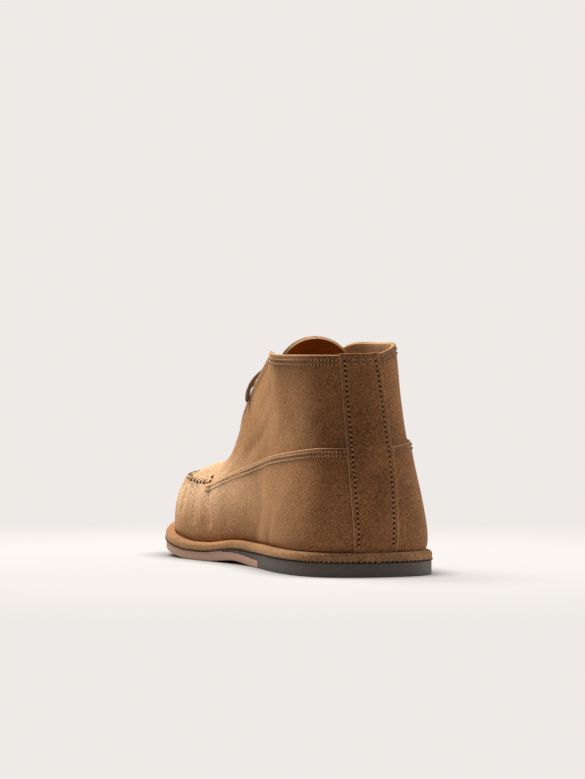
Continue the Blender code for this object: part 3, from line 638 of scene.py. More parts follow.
# %% Suede
def napped_grain():
    """Colour and height of a nap: fine flecks, coarser tufts and wide clouds."""
    group, given, result = new_group(
        "Napped grain",
        [("Colour", "NodeSocketColor", (0.4, 0.2, 0.1, 1)), ("Fleck", "NodeSocketFloat", 0.5),
         ("Cloud", "NodeSocketFloat", 0.3)],
        [("Colour", "NodeSocketColor"), ("Height", "NodeSocketFloat")])
    where = add_node(group, "ShaderNodeTexCoord").outputs["Object"]
    fine = add_node(group, "ShaderNodeTexNoise", {"Vector": where, "Scale": 1250.0, "Detail": 4.0,
                                                  "Roughness": 0.7}).outputs["Fac"]
    coarse = add_node(group, "ShaderNodeTexNoise", {"Vector": where, "Scale": 800.0, "Detail": 2.0,
                                                    "Roughness": 0.6}).outputs["Fac"]
    cloud = add_node(group, "ShaderNodeTexNoise", {"Vector": where, "Scale": 32.0, "Detail": 4.0,
                                                   "Roughness": 0.55, "Distortion": 0.6}).outputs["Fac"]
    grain = math_node(group, "ADD", math_node(group, "MULTIPLY", ramp(group, fine, 0.42, 0.64), 0.7),
                      math_node(group, "MULTIPLY", ramp(group, coarse, 0.36, 0.66), 0.3))
    swing = math_node(group, "MULTIPLY", math_node(group, "SUBTRACT", grain, 0.5), given.outputs["Fleck"])
    drift = math_node(group, "MULTIPLY", math_node(group, "SUBTRACT", ramp(group, cloud, 0.25, 0.75), 0.5),
                      given.outputs["Cloud"])
    gain = math_node(group, "ADD", math_node(group, "ADD", swing, drift), 1.05)
    gain = math_node(group, "MAXIMUM", gain, 0.5)
    scaled = add_node(group, "ShaderNodeVectorMath", {0: given.outputs["Colour"], "Scale": gain},
                      operation="SCALE").outputs["Vector"]
    group.links.new(scaled, result.inputs["Colour"])
    group.links.new(grain, result.inputs["Height"])
    return group


NAP = napped_grain()
RAW_EDGE = (0.60, 0.36, 0.19)
# Colour of the paler nap: partly from brushing, partly a painted highlight.
BRUSHED_NAP_AND_HIGHLIGHT = (0.76, 0.49, 0.30)
# Painted shade for creases and gather troughs.
PAINTED_CREASE_SHADE = (0.035, 0.016, 0.008)


def suede(name, colour, fleck=1.25, cloud=0.55, sheen=0.35):
    """Suede finish: the nap's colour, paler at a raw edge and in the nap raised by brushing with its painted
    highlight, darker with painted shade in creases.
    """
    material, tree, shader = new_material(name, roughness=0.95, sheen=sheen, sheen_tint=(1.0, 0.70, 0.38),
                                          specular=0.1)
    # Painted highlight on the inner toe, together with the nap raised by brushing, read from the nap attribute.
    nap_highlight_share = add_node(tree, "ShaderNodeAttribute", attribute_name="nap").outputs["Fac"]
    highlighted = mix_colour(tree, nap_highlight_share, (*colour, 1.0), (*BRUSHED_NAP_AND_HIGHLIGHT, 1.0))
    nap = add_node(tree, "ShaderNodeGroup", {"Colour": highlighted}, node_tree=NAP)
    nap.inputs["Fleck"].default_value = fleck
    nap.inputs["Cloud"].default_value = cloud
    cut = add_node(tree, "ShaderNodeAttribute", attribute_name="cut").outputs["Fac"]
    shade = add_node(tree, "ShaderNodeAttribute", attribute_name="shade").outputs["Fac"]
    edged = mix_colour(tree, cut, nap.outputs["Colour"], (*RAW_EDGE, 1.0))
    # Painted shade in creases, mixed in by the shade attribute.
    crease_shaded = mix_colour(tree, shade, edged, (*PAINTED_CREASE_SHADE, 1.0))
    tree.links.new(crease_shaded, shader.inputs["Base Color"])
    bump = add_node(tree, "ShaderNodeBump", {"Height": nap.outputs["Height"], "Strength": 0.5, "Distance": 0.0005})
    tree.links.new(bump.outputs["Normal"], shader.inputs["Normal"])
    return material


SUEDE_COLOUR = (0.310, 0.130, 0.052)
suede_body = suede("suede", SUEDE_COLOUR)
suede_welt = suede("suede_wrap", (0.35, 0.172, 0.080))
print("suede group has", len(NAP.nodes), "nodes")


# %% Lining, thread, rubber and sole leather
def smooth_leather(name, colour, grain_scale, depth, roughness, raw=RAW_EDGE):
    """Smooth leather: pebbled grain from Voronoi cells, broken by a soft noise."""
    material, tree, shader = new_material(name, roughness=roughness, specular=0.35)
    where = add_node(tree, "ShaderNodeTexCoord").outputs["Object"]
    cells = add_node(tree, "ShaderNodeTexVoronoi", {"Vector": where, "Scale": grain_scale}).outputs["Distance"]
    cloud = add_node(tree, "ShaderNodeTexNoise", {"Vector": where, "Scale": 60.0, "Detail": 3.0}).outputs["Fac"]
    dark = tuple(0.6 * value for value in colour)
    base = mix_colour(tree, ramp(tree, cloud, 0.3, 0.7), (*dark, 1.0), (*colour, 1.0))
    cut = add_node(tree, "ShaderNodeAttribute", attribute_name="cut").outputs["Fac"]
    tree.links.new(mix_colour(tree, cut, base, (*raw, 1.0)), shader.inputs["Base Color"])
    bump = add_node(tree, "ShaderNodeBump", {"Height": cells, "Strength": 0.35, "Distance": depth})
    tree.links.new(bump.outputs["Normal"], shader.inputs["Normal"])
    return material


def layered(name, colour, low_edge, band, streaks, roughness):
    """Cut edge of a sole: fine streaks along its layers and a paler line near the floor."""
    material, tree, shader = new_material(name, roughness=roughness, specular=0.3)
    where = add_node(tree, "ShaderNodeTexCoord").outputs["Object"]
    flat = add_node(tree, "ShaderNodeMapping", {"Vector": where, "Scale": (1.0, 1.0, 9.0)}).outputs["Vector"]
    streak = add_node(tree, "ShaderNodeTexNoise", {"Vector": flat, "Scale": streaks, "Detail": 4.0,
                                                   "Roughness": 0.6}).outputs["Fac"]
    dark = tuple(0.72 * value for value in colour)
    base = mix_colour(tree, ramp(tree, streak, 0.3, 0.7), (*dark, 1.0), (*colour, 1.0))
    shade = add_node(tree, "ShaderNodeAttribute", attribute_name="shade").outputs["Fac"]
    toned = mix_colour(tree, math_node(tree, "MULTIPLY", shade, band), base, (*low_edge, 1.0))
    tree.links.new(toned, shader.inputs["Base Color"])
    bump = add_node(tree, "ShaderNodeBump", {"Height": streak, "Strength": 0.25, "Distance": 0.0002})
    tree.links.new(bump.outputs["Normal"], shader.inputs["Normal"])
    return material


def spun(name, colour, roughness=0.75):
    """Thread or cord: plies as a fine noise between a dark and a full tone."""
    material, tree, shader = new_material(name, roughness=roughness, specular=0.3)
    where = add_node(tree, "ShaderNodeTexCoord").outputs["Object"]
    plies = add_node(tree, "ShaderNodeTexNoise", {"Vector": where, "Scale": 1800.0, "Detail": 2.0}).outputs["Fac"]
    dark = tuple(0.5 * value for value in colour)
    base = mix_colour(tree, ramp(tree, plies, 0.35, 0.65), (*dark, 1.0), (*colour, 1.0))
    tree.links.new(base, shader.inputs["Base Color"])
    return material


lining = smooth_leather("lining", (0.50, 0.27, 0.12), 900.0, 0.0002, 0.55)
lining_deep = smooth_leather("tongue_lining", (0.52, 0.15, 0.02), 1100.0, 0.00015, 0.45)
rubber = layered("rubber", (0.125, 0.100, 0.084), (0.12, 0.10, 0.09), 0.6, 180.0, 0.65)
sole_leather = layered("sole_leather", (0.56, 0.335, 0.25), (0.60, 0.36, 0.24), 1.0, 240.0, 0.55)
pale_thread = spun("pale_thread", (0.62, 0.40, 0.24))
dark_thread = spun("dark_thread", (0.05, 0.028, 0.018))
cord = spun("cord", (0.30, 0.17, 0.09))
# Near-black paint for the needle holes: painted shade where the holes are.
hole_shade_paint, _, needle_shader = new_material("hole_shade_material", roughness=1.0, specular=0.0)
needle_shader.inputs["Base Color"].default_value = (0.022, 0.011, 0.006, 1.0)
print("materials:", [m.name for m in bpy.data.materials])

# %% [markdown]
# ## The quarters
#
# Two halves of suede meet under the backstay and stand open in front for the foot. They are
# one shell here, from the front edge of the outer half round the heel to the front edge of
# the inner one. Their top edge is cut raw, so it shows pale. The surface isn't a perfect
# lofted form: worn suede waves a little, most at the throat, where nothing stiffens it.


# %% Quarters and their lining
def end_rounding(first, last, inside, turns=4):
    """Stations with rounded ends: extra ones creep to the end as the section shrinks to none."""
    angle = np.linspace(0.0, np.pi / 2, turns + 1)[1:]
    core = np.linspace(first + inside, last - inside, ENDLESS)
    start = core[0] - inside * np.sin(angle[::-1])
    end = core[-1] + inside * np.sin(angle)
    full = np.concatenate([np.cos(angle[::-1]), np.ones(len(core)), np.cos(angle)])
    return np.concatenate([start, core, end]), np.maximum(full, 0.02)


def stay_half(b):
    """t of the backstay's edge: half its width at the sole and at the collar, blended by b."""
    probe = np.linspace(0.0, 3 * STEP, 121)
    foot, _ = sole_edge(probe, reach(probe))
    top = form(probe, np.ones_like(probe))
    ends = []
    for line in (foot, top):
        arc = np.concatenate([[0.0], np.cumsum(np.linalg.norm(np.diff(line, axis=0), axis=1))])
        ends.append(np.interp(STAY_WIDTH / 2, arc, probe))
    return ends[0] + (ends[1] - ends[0]) * np.asarray(b)


SUEDE_THICKNESS = 0.0014
INNER_FOLDS = np.array([
    # y from, z from, y to, z to, width, depth, all in mm
    [44, 45, 35, 22, 2.6, -1.0],
    [51, 40, 45, 26, 2.6, 0.6],
    [60, 42, 56, 24, 2.8, -0.7],
    [74, 42, 76, 28, 3.0, -0.5],
    [22, 40, 12, 26, 5.0, -0.5],
    [-28, 14, -46, 34, 5.5, -0.35],
    [-58, 15, -70, 30, 5.0, -0.5],
    [-8, 64, -34, 78, 5.0, -0.7],
    [-20, 72, -48, 92, 5.0, 0.5],
    [-46, 100, -66, 88, 6.0, -0.7],
    [-84, 104, -100, 84, 8.0, -0.5],
])


def folded(points, shift=(5.0, -2.0), outer_share=0.8):
    """Depth of the soft folds of worn suede: each is a bell across a straight line.

    The outer side has the same folds, moved by shift and a little shallower.
    """
    depth = np.zeros(points.shape[:-1])
    for side, share, move in ((-1, 1.0, (0.0, 0.0)), (1, outer_share, shift)):
        for y1, z1, y2, z2, width, deep in INNER_FOLDS:
            run = np.array([y2 - y1, z2 - z1])
            away = points[..., 1:] * 1000 - np.array([y1, z1]) - move
            along = np.clip(away @ run / (run @ run), 0, 1)
            reach_out = np.linalg.norm(away - along[..., None] * run, axis=-1)
            depth += share * deep * np.exp(-(reach_out / width) ** 2) * (points[..., 0] * side > 0)
    return depth / 1000


ENDLESS = 430
t_quarters, full_quarters = end_rounding(-FRONT_T, FRONT_T, 0.0008 / 0.68)
top_speed = speed_up(t_quarters, np.full_like(t_quarters, 0.97))
place, lift, cut = skin_loop(0.0, 1.0, -SUEDE_THICKNESS, 0.0, 64, 1e-4, 0.0007 / top_speed)
lift = -0.0007 + (lift + 0.0007) * full_quarters[:, None]
arc_quarters = t_quarters[:, None] * 0.68 / 0.02
wave = noise_field(arc_quarters, place * 5.0, 3)
throat = np.clip((abs(t_quarters) - 3.5 * STEP) / (2.5 * STEP), 0, 1)[:, None]
lift = lift + wave * (0.00040 + 0.00045 * throat) * np.clip(1.6 - place * 1.2, 0, 1)
lift += folded(on_form(t_quarters[:, None], place, lift))
cut = np.maximum(cut, (1 - full_quarters[:, None]) * 1.0)
points = on_form(t_quarters[:, None], place, lift)
quarters = make_piece("quarters", points, loft_quads(*place.shape), suede_body, cut=cut * 0.8)
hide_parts("upper")
print("quarters:", len(quarters.data.polygons), "quads")

t_lining = np.linspace(-0.5, 0.5, 361)[:-1]
under_apron = np.clip((abs(t_lining) - FRONT_T) / (0.5 * STEP) + 0.5, 0, 1)
place, lift, cut = skin_loop(0.0, 1.0 - 0.0006 / speed_up(t_lining, np.full_like(t_lining, 0.97)),
                             -WALL - 0.0016 * under_apron, -SUEDE_THICKNESS - 0.0001 - 0.0009 * under_apron,
                             44, 1e-4, 0.0004 / 0.1)
points = on_form(t_lining[:, None], place, lift)
quarter_lining = make_piece("quarter_lining", points, loft_quads(*place.shape, close_stations=True),
                            lining, cut=cut * 0.7)

# %% [markdown]
# ## The mudguard
#
# A long strip of suede wraps the foot below the quarters, from one edge of the backstay to
# the other. Along the quarters its edge is cut raw and held by two rows of stitches. Round
# the toe the same edge is gathered by hand onto the apron, so soft folds run down from it.


# %% The mudguard with its gathers
def gathers(t):
    """Amount (0 to 1) and phase of the hand gathers at t: none before the quarters' front."""
    share = np.minimum(t, 1.0 - t)
    amount = np.clip((share - FRONT_T) / (0.35 * STEP), 0, 1)
    return amount, share * 0.68 / GATHER_PITCH * 2 * np.pi


GATHER_PITCH = 0.0052
stay_low = float(stay_half(0.0))
ENDLESS = 520
t_guard, full_guard = end_rounding(stay_low - 0.003, 1.0 - stay_low + 0.003, 0.0007 / 0.68)
line_guard = seam_share(t_guard)
place, lift, cut = skin_loop(0.0, line_guard, CLEARANCE, CLEARANCE + SUEDE_THICKNESS, 44, 1e-4,
                             0.0006 / speed_up(t_guard, line_guard))
spread = stay_half(place) - stay_low
near_stay = np.clip((0.16 - np.minimum(t_guard, 1 - t_guard)) / 0.13, 0, 1)[:, None]
t_place = t_guard[:, None] + np.where(t_guard[:, None] < 0.5, 1, -1) * spread * near_stay
middle = CLEARANCE + SUEDE_THICKNESS / 2
lift = middle + (lift - middle) * full_guard[:, None]
drop = (line_guard[:, None] - place) * speed_up(t_guard, 0.5 * line_guard)[:, None]
amount, phase = gathers(t_guard)
amount, phase = amount[:, None], phase[:, None]
uneven = 1 + 0.5 * noise_field(phase / 9, 0 * phase, 8)
near_seam = np.exp(-np.maximum(drop, 0) / 0.0035)
fold = amount * uneven * (0.00050 * np.sin(phase) * near_seam
                          + 0.00055 * np.sin(phase / 2.3 + 0.8) * np.exp(-np.maximum(drop, 0) / 0.010))
outer = (lift > middle)
lift = lift + np.where(outer, fold + 0.0005 * amount * near_seam, 0.0)
lift += noise_field(t_guard[:, None] * 34, place * 4, 5) * 0.00035
lift += folded(on_form(t_place, place, lift)) * np.clip(drop / 0.008, 0, 1)
# Painted shade in the troughs of the gathers, near the seam.
trough_shade = amount * near_seam * np.clip(-np.sin(phase), 0, 1) ** 2 * outer
points = on_form(t_place, place, lift)
mudguard = make_piece("mudguard_suede", points, loft_quads(*place.shape), suede_body,
                      cut=cut * (1 - 0.8 * amount), shade=trough_shade * 0.8)
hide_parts("mudguard")
print("mudguard:", len(mudguard.data.polygons), "quads")

# %% [markdown]
# ## The apron and its gathered seam
#
# The apron is the plug of leather on top of the toe. It is one sheet from the inner seam
# over the crown to the outer seam, so its loop runs across the foot. Where it meets the
# mudguard both edges stand up and are sewn together by hand: a lumpy roll with a thick
# thread round it every few millimetres.


# %% The apron
def across_toe(t, v):
    """t and b for a place v across the foot: -1 at the inner seam, 0 on the crown, 1 outside."""
    side = np.where(v < 0, t, 1.0 - t)
    return side, 1.0 - abs(v) * (1.0 - seam_share(side.ravel()).reshape(side.shape))


t_apron = np.linspace(FRONT_T - 0.0022, 0.5, 150)
place, lift, cut = skin_loop(-0.985, 0.985, -0.0019, -0.0005, 81, 0.01, 0.01)
place, lift, cut = (np.repeat(v, len(t_apron), axis=0) for v in (place, lift, cut))
side_t, side_b = across_toe(np.repeat(t_apron[:, None], place.shape[1], axis=1), place)
amount, phase = gathers(side_t)
from_seam = (1 - abs(place)) * 0.04
pucker = amount * np.exp(-from_seam / 0.0035) * 0.0004 * np.sin(phase)
top_side = lift > -0.0012
lift = lift + np.where(top_side, pucker + 0.0007 * np.exp(-from_seam / 0.003), 0.0)
lift += noise_field(side_t * 30, place * 2, 11) * 0.0002 * np.clip((0.5 - t_apron) / 0.03, 0, 1)[:, None]
# Painted shade in the gather troughs by the seam.
trough_shade = amount * np.exp(-from_seam / 0.003) * np.clip(-np.sin(phase), 0, 1) ** 2 * top_side
points = on_form(side_t, side_b, lift)
quads = loft_quads(*place.shape)[:-(place.shape[1] // 2 - 1)]
apron = make_piece("apron_suede", points, quads, suede_body,
                   cut=cut * 0.3, shade=trough_shade * 0.8)
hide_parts("apron")
print("apron:", len(apron.data.polygons), "quads")


# %% The gathered roll and its hand stitches
def path_frame(points):
    """Unit tangents of a path of points."""
    run = np.gradient(points, axis=0)
    return run / np.linalg.norm(run, axis=1)[:, None]


def tube_along(name, points, normals, radius, material, sides=12, flat=1.0, shade=None, cut=None):
    """Closed tube along a path: circles of the given radius, flattened along the normals."""
    run = path_frame(points)
    across = np.cross(normals, run)
    across /= np.linalg.norm(across, axis=1)[:, None]
    up = np.cross(run, across)
    angle = np.arange(sides) * 2 * np.pi / sides
    radius = np.broadcast_to(radius, len(points)).copy()
    ease = np.minimum(np.arange(len(points)), np.arange(len(points))[::-1])
    radius *= np.sqrt(np.clip((ease + 0.3) / 3.0, 0, 1))
    loops = (points[:, None] + across[:, None] * np.cos(angle)[None, :, None] * radius[:, None, None]
             + up[:, None] * np.sin(angle)[None, :, None] * (radius * flat)[:, None, None])
    shades = None if shade is None else np.repeat(np.asarray(shade)[:, None], sides, axis=1)
    return make_piece(name, loops, loft_quads(len(points), sides), material, shade=shades)


def stitch_row(name, points, normals, pitch, length, radius, material, lean=0.0, arch=0.6):
    """Short capsules along a path, each dipping into the leather at both ends.

    Every stitch has 5 rings of 6 points. Its rings follow the path's tangent, turned by
    lean, and its middle stands arch times its radius above the surface.
    """
    arc = np.concatenate([[0.0], np.cumsum(np.linalg.norm(np.diff(points, axis=0), axis=1))])
    centre_at = np.arange(pitch / 2, arc[-1], pitch)
    centre = np.column_stack([np.interp(centre_at, arc, points[:, k]) for k in range(3)])
    normal = np.column_stack([np.interp(centre_at, arc, normals[:, k]) for k in range(3)])
    normal /= np.linalg.norm(normal, axis=1)[:, None]
    tangent = path_frame(points)
    run = np.column_stack([np.interp(centre_at, arc, tangent[:, k]) for k in range(3)])
    across = np.cross(normal, run)
    run = run * np.cos(lean) + across * np.sin(lean)
    run /= np.linalg.norm(run, axis=1)[:, None]
    across = np.cross(normal, run)
    along = np.array([-0.5, -0.32, 0.0, 0.32, 0.5]) * length
    thick = np.array([0.35, 0.85, 1.0, 0.85, 0.35]) * radius
    rise = np.array([-0.9, 0.1, 1.0, 0.1, -0.9]) * radius * arch
    angle = np.arange(6) * np.pi / 3
    loops = (centre[:, None, None] + run[:, None, None] * along[None, :, None, None]
             + normal[:, None, None] * (rise[None, :, None, None]
                                        + (thick[:, None] * np.sin(angle)[None])[None, ..., None])
             + across[:, None, None] * (thick[:, None] * np.cos(angle)[None])[None, ..., None])
    one = loft_quads(5, 6)
    quads = (one[None] + (np.arange(len(centre)) * 30)[:, None, None]).reshape(-1, 4)
    return make_piece(name, loops, quads, material), centre_at, arc


def hole_shade_discs(name, points, normals, pitch, radius):
    """Painted shade of the needle holes between the stitches: dark flat six-sided discs just above the leather."""
    arc = np.concatenate([[0.0], np.cumsum(np.linalg.norm(np.diff(points, axis=0), axis=1))])
    at = np.arange(pitch, arc[-1], pitch)
    centre = np.column_stack([np.interp(at, arc, points[:, k]) for k in range(3)])
    normal = np.column_stack([np.interp(at, arc, normals[:, k]) for k in range(3)])
    normal /= np.linalg.norm(normal, axis=1)[:, None]
    run = np.column_stack([np.interp(at, arc, path_frame(points)[:, k]) for k in range(3)])
    across = np.cross(normal, run)
    angle = np.arange(6) * np.pi / 3
    size = np.array([0.3, 1.0, 1.0, 0.3]) * radius
    rise = np.array([-1.0, -0.6, 0.10, 0.22]) * radius
    loops = (centre[:, None, None] + normal[:, None, None] * rise[None, :, None, None]
             + run[:, None, None] * (size[:, None] * np.cos(angle)[None])[None, ..., None]
             + across[:, None, None] * (size[:, None] * np.sin(angle)[None])[None, ..., None])
    quads = (loft_quads(4, 6)[None] + (np.arange(len(centre)) * 24)[:, None, None]).reshape(-1, 4)
    return make_piece(name, loops, quads, hole_shade_paint)


t_roll = np.linspace(FRONT_T + 0.001, 1.0 - FRONT_T - 0.001, 700)
b_roll = seam_share(t_roll) + 0.0012 / speed_up(t_roll, seam_share(t_roll))
amount, phase = gathers(t_roll)
lump = 0.5 + 0.5 * np.sin(phase)
roll_points = on_form(t_roll, b_roll, 0.0007 + 0.0004 * lump)
roll_normals = outwards(t_roll, b_roll)
# Painted shade in the dips between the roll's lumps.
tube_along("gathered_roll", roll_points, roll_normals, 0.00125 + 0.00035 * lump, suede_body,
           sides=14, flat=1.05, shade=0.75 * (1 - lump) ** 3)
stitch_row("hand_stitches", roll_points + roll_normals * 0.0010, roll_normals, GATHER_PITCH, 0.0042,
           0.00042, dark_thread, lean=np.pi / 2 - 0.25, arch=1.2)
print("roll of", round(float(np.linalg.norm(np.diff(roll_points, axis=0), axis=1).sum()) * 1000), "mm")

# %% [markdown]
# ## The backstay
#
# A narrow strip covers the back seam from the sole to just over the collar. It lies on the
# mudguard below and on the quarters above, so it climbs over the mudguard's edge. Its loop
# runs across the strip, and the strip's long sides are its raw edges.

# %% The backstay
ENDLESS = 150
b_stay, full_stay = end_rounding(0.0, 1.0 + 0.0007 / 0.11, 0.0006 / 0.11)
half = stay_half(np.clip(b_stay, 0, 1))
place, lift, cut = skin_loop(-half, half, 0.0, 0.0012, 30, 0.0006 / 0.62, 0.0006 / 0.62)
line_in = seam_share(stay_half(np.array([0.5])))[0]
line_out = seam_share(1.0 - stay_half(np.array([0.5])))[0]
line_here = line_out + (line_in - line_out) * (0.5 + 0.5 * place / half[:, None])
on_guard = np.clip((line_here - b_stay[:, None]) / 0.028 + 0.5, 0, 1)
on_guard = on_guard ** 2 * (3 - 2 * on_guard)
lift = 0.0006 + (lift - 0.0006) * full_stay[:, None] + CLEARANCE * 0.6 + 0.0013 * on_guard
edge_share = abs(place) / half[:, None]
sewn = np.exp(-((edge_share - 0.77) / 0.06) ** 2)
lift = lift - 0.00022 * sewn * (lift > 0.0006)
lift += noise_field(place * 40, b_stay[:, None] * 7, 21) * 0.00012
points = on_form(place, np.repeat(b_stay[:, None], place.shape[1], axis=1), lift)
backstay = make_piece("backstay_suede", points, loft_quads(*place.shape), suede_body,
                      cut=np.maximum(cut, (1 - full_stay[:, None])) * 0.85)
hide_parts("backstay")
print("backstay:", len(backstay.data.polygons), "quads")

# %% [markdown]
# ## Rows of stitches
#
# Machine stitches show as short pale threads with a needle hole between each two; the hole's
# shade is painted as a dark disc. Real geometry catches light as thread does, so every stitch
# is a small capsule. A row is a line on the form, at a set distance from the edge it holds.


# %% Rows on the collar, the mudguard and the backstay
def sewn_line(name, t, b, lift, pitch, length=None, radius=0.00044, hole=0.00046):
    """A row of stitches, with discs of painted shade for their needle holes, along (t, b) on the form, at a lift.
    """
    points = on_form(t, b, lift)
    normals = outwards(t, np.clip(b, 0, 1))
    stitch_row(name, points, normals, pitch, length or pitch * 0.62, radius, pale_thread)
    # Discs of painted shade for the needle holes; hole is their radius.
    hole_shade_discs(name + "_hole_shade", points, normals, pitch, hole)


def down_from(t, b, distance):
    return b - distance / speed_up(t, b)


for side, sign in (("inner", 1.0), ("outer", -1.0)):
    t_row = sign * np.linspace(float(stay_half(1.0)) + 0.002, FRONT_T - 0.006, 900)
    top = np.ones_like(t_row)
    for number, distance in enumerate((0.0030, 0.0055)):
        sewn_line(f"collar_row_{side}_{number}", t_row, down_from(t_row, top, distance), 0.0, 0.0021)
    t_row = sign * np.linspace(float(stay_half(0.5)) + 0.001, FRONT_T - 0.002, 900)
    line = seam_share(t_row)
    for number, distance in enumerate((0.0022, 0.0045)):
        sewn_line(f"mudguard_row_{side}_{number}", t_row, down_from(t_row, line, distance),
                  CLEARANCE + SUEDE_THICKNESS, 0.0021)
    b_row = np.linspace(0.02, 0.985, 300)
    half_row = stay_half(b_row)
    guard = np.clip(((line_in if sign > 0 else line_out) - b_row) / 0.028 + 0.5, 0, 1)
    guard = guard ** 2 * (3 - 2 * guard)
    sewn_line(f"backstay_row_{side}", sign * half_row * 0.77, b_row, 0.0012 + 0.0013 * guard, 0.0028,
              length=0.0015, radius=0.00036, hole=0.00070)
t_row = np.linspace(-0.68, 0.68, 60) * float(stay_half(1.0))
for number, distance in enumerate((0.0028, 0.0054)):
    sewn_line(f"backstay_top_row_{number}", t_row, down_from(t_row, np.ones_like(t_row), distance), 0.0013,
              0.0046, length=0.0034, radius=0.00026)
t_tack = FRONT_T - 0.0015
b_tack = np.linspace(0.60, 0.74, 40)
for side, t_here in (("inner", t_tack), ("outer", 1.0 - t_tack)):
    line = float(seam_share(np.array([t_here]))[0])
    b_tack = np.linspace(line + 0.01, line + 0.13, 40)
    t_line = np.full_like(b_tack, t_here)
    stitch_row(f"corner_tack_{side}", on_form(t_line, b_tack, 0.0003), outwards(t_line, b_tack), 0.0030,
               0.0024, 0.00050, dark_thread)

# %% [markdown]
# ## The tongue
#
# A curved tongue with a half-round top stands behind the throat: suede in front, smooth
# leather on the side of the foot, and a pale cut edge between them.

# %% The tongue
TONGUE_WIDTH = 0.0410
TONGUE_RISE = 0.0105
TONGUE_ARC = 0.0340
TONGUE_LEAN = 0.026
TONGUE = np.array([
    # along   rise    wide
    [0.702,   0.430,  0.62],
    [0.664,   0.820,  0.80],
    [0.616,   1.150,  0.92],
    [0.558,   1.455,  0.95],
    [0.494,   1.650,  0.96],
    [0.428,   1.828,  0.98],
    [0.387,   1.945,  1.00],
    [0.366,   2.040,  1.00],
])


def tongue_spine(count=70, head=26):
    """Middle line of the tongue's front: (along, up, half width), ending in a quarter ellipse."""
    rows = np.arange(len(TONGUE), dtype=float)
    at = np.linspace(0.0, rows[-1], count)
    body = np.column_stack([profile(rows, TONGUE[:, 0] * LENGTH, at), profile(rows, height(TONGUE[:, 1]), at),
                            profile(rows, TONGUE[:, 2] * TONGUE_WIDTH / 2, at)])
    angle = np.linspace(0.0, np.pi / 2 - 0.02, head)[1:]
    tip = COLLAR_HEIGHT + TONGUE_RISE
    top = np.column_stack([body[-1, 0] - TONGUE_LEAN * LENGTH * np.sin(angle),
                           body[-1, 1] + (tip - body[-1, 1]) * np.sin(angle), body[-1, 2] * np.cos(angle)])
    return np.vstack([body, top])


def tongue_sheet(name, near, far, material, pale):
    """Sheet between two depths behind the front: the spine carried across by an arc."""
    spine = tongue_spine()
    run = path_frame(spine[:, :2])
    front = np.column_stack([run[:, 1], -run[:, 0]])
    place, depth, cut = skin_loop(np.full(len(spine), -1.0), 1.0, -far, -near, 33, 0.02, 0.02)
    depth = -depth
    x = spine[:, 2:3] * place
    fall = TONGUE_ARC - np.sqrt(TONGUE_ARC ** 2 - x ** 2) + depth
    x = x * (1 - depth / TONGUE_ARC)
    middle = TOP_IN[-1, 1] * COLLAR_WIDTH
    points = np.stack([middle + x - CENTRE[0], spine[:, 0:1] - front[:, 0:1] * fall - CENTRE[1],
                       spine[:, 1:2] - front[:, 1:2] * fall], axis=2)
    rim = np.clip((np.arange(len(spine)) - (len(spine) - 5)) / 3.0, 0, 1)[:, None]
    return make_piece(name, points, loft_quads(*place.shape), material, cut=np.maximum(cut, rim) * pale)


tongue = tongue_sheet("tongue_suede", 0.0, 0.0011, suede_body, 0.9)
tongue_back = tongue_sheet("tongue_leather", 0.00112, 0.0022, lining_deep, 0.9)
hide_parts("tongue")
print("tongue top at", round(float(tongue_spine()[-1, 1]) * 1000, 1), "mm")

# %% [markdown]
# ## Platform, heel and forepart sole
#
# The upper stands on a platform wrapped in the same suede. Under it lie a rubber heel, which
# thins to a wedge and runs forward over the forepart sole, and that sole itself. Each is one
# slab: at every station the loop runs across the top, down one edge, back underneath and up
# the other edge.


# %% A slab cut to the sole's outline
def slab(name, t, edge, bottom, top, material, slot, count=16):
    """Slab along stations t. edge is (inset, share of the height) from the bottom face up.

    Across the sole, points are a straight blend between the inner and the outer outline.
    """
    edge = np.asarray(edge, float)
    across = np.linspace(0.0, 1.0, count)
    rings = []
    for inset, share in edge:
        inner, _ = sole_edge(t, inset)
        outer, _ = sole_edge(1.0 - t, inset)
        rings.append((inner, outer, share))

    def row(ring, places):
        inner, outer, share = ring
        plan = inner[:, None] * (1 - places)[None, :, None] + outer[:, None] * places[None, :, None]
        low, high = bottom(plan[..., 1], t[:, None]), top(plan[..., 1], t[:, None])
        return np.concatenate([plan - CENTRE, (low + (high - low) * share)[..., None]], axis=2)

    first, last = np.zeros(1), np.ones(1)
    parts = [row(rings[0], across)]
    parts += [row(ring, last) for ring in rings[1:-1]]
    parts += [row(rings[-1], across[::-1])]
    parts += [row(ring, first) for ring in rings[-2:0:-1]]
    points = np.concatenate(parts, axis=1)
    tone = np.concatenate([np.full(count, 1.0), (1 - edge[1:-1, 1]) ** 4, np.zeros(count),
                           (1 - edge[-2:0:-1, 1]) ** 4])
    around = points.shape[1]
    return make_piece(name, points, loft_quads(len(t), around), material,
                      shade=np.repeat(tone[None], len(t), axis=0) * (slot != "suede"))


def round_edge(low_radius, high_radius, thickness, inset=0.0, points=6):
    """Edge profile with a quarter circle at each face: (inset, share of the height)."""
    angle = np.linspace(0.0, np.pi / 2, points)
    low = np.column_stack([inset + low_radius * (1 - np.sin(angle)),
                           low_radius * (1 - np.cos(angle)) / thickness])
    high = np.column_stack([inset + high_radius * (1 - np.cos(angle)),
                            1 - high_radius * (1 - np.sin(angle)) / thickness])
    return np.vstack([low, high])


def toe_to_heel(first, last, count):
    """Stations evenly spaced between two marks."""
    share = np.linspace(0.0, 1.0, count)
    return first + (last - first) * share


t_sole = toe_to_heel(0.0, 0.5, 260)
midsole = slab("platform_wrap", t_sole, round_edge(0.0012, 0.0021, MIDSOLE_THICKNESS),
               lambda y, t: sole_top(y) + CLEARANCE, lambda y, t: platform_top(y), suede_welt, "suede")
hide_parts("midsole")

WEDGE_START = 0.0034
WEDGE_TIP = 0.0007
SOLE_INSET = 0.0003


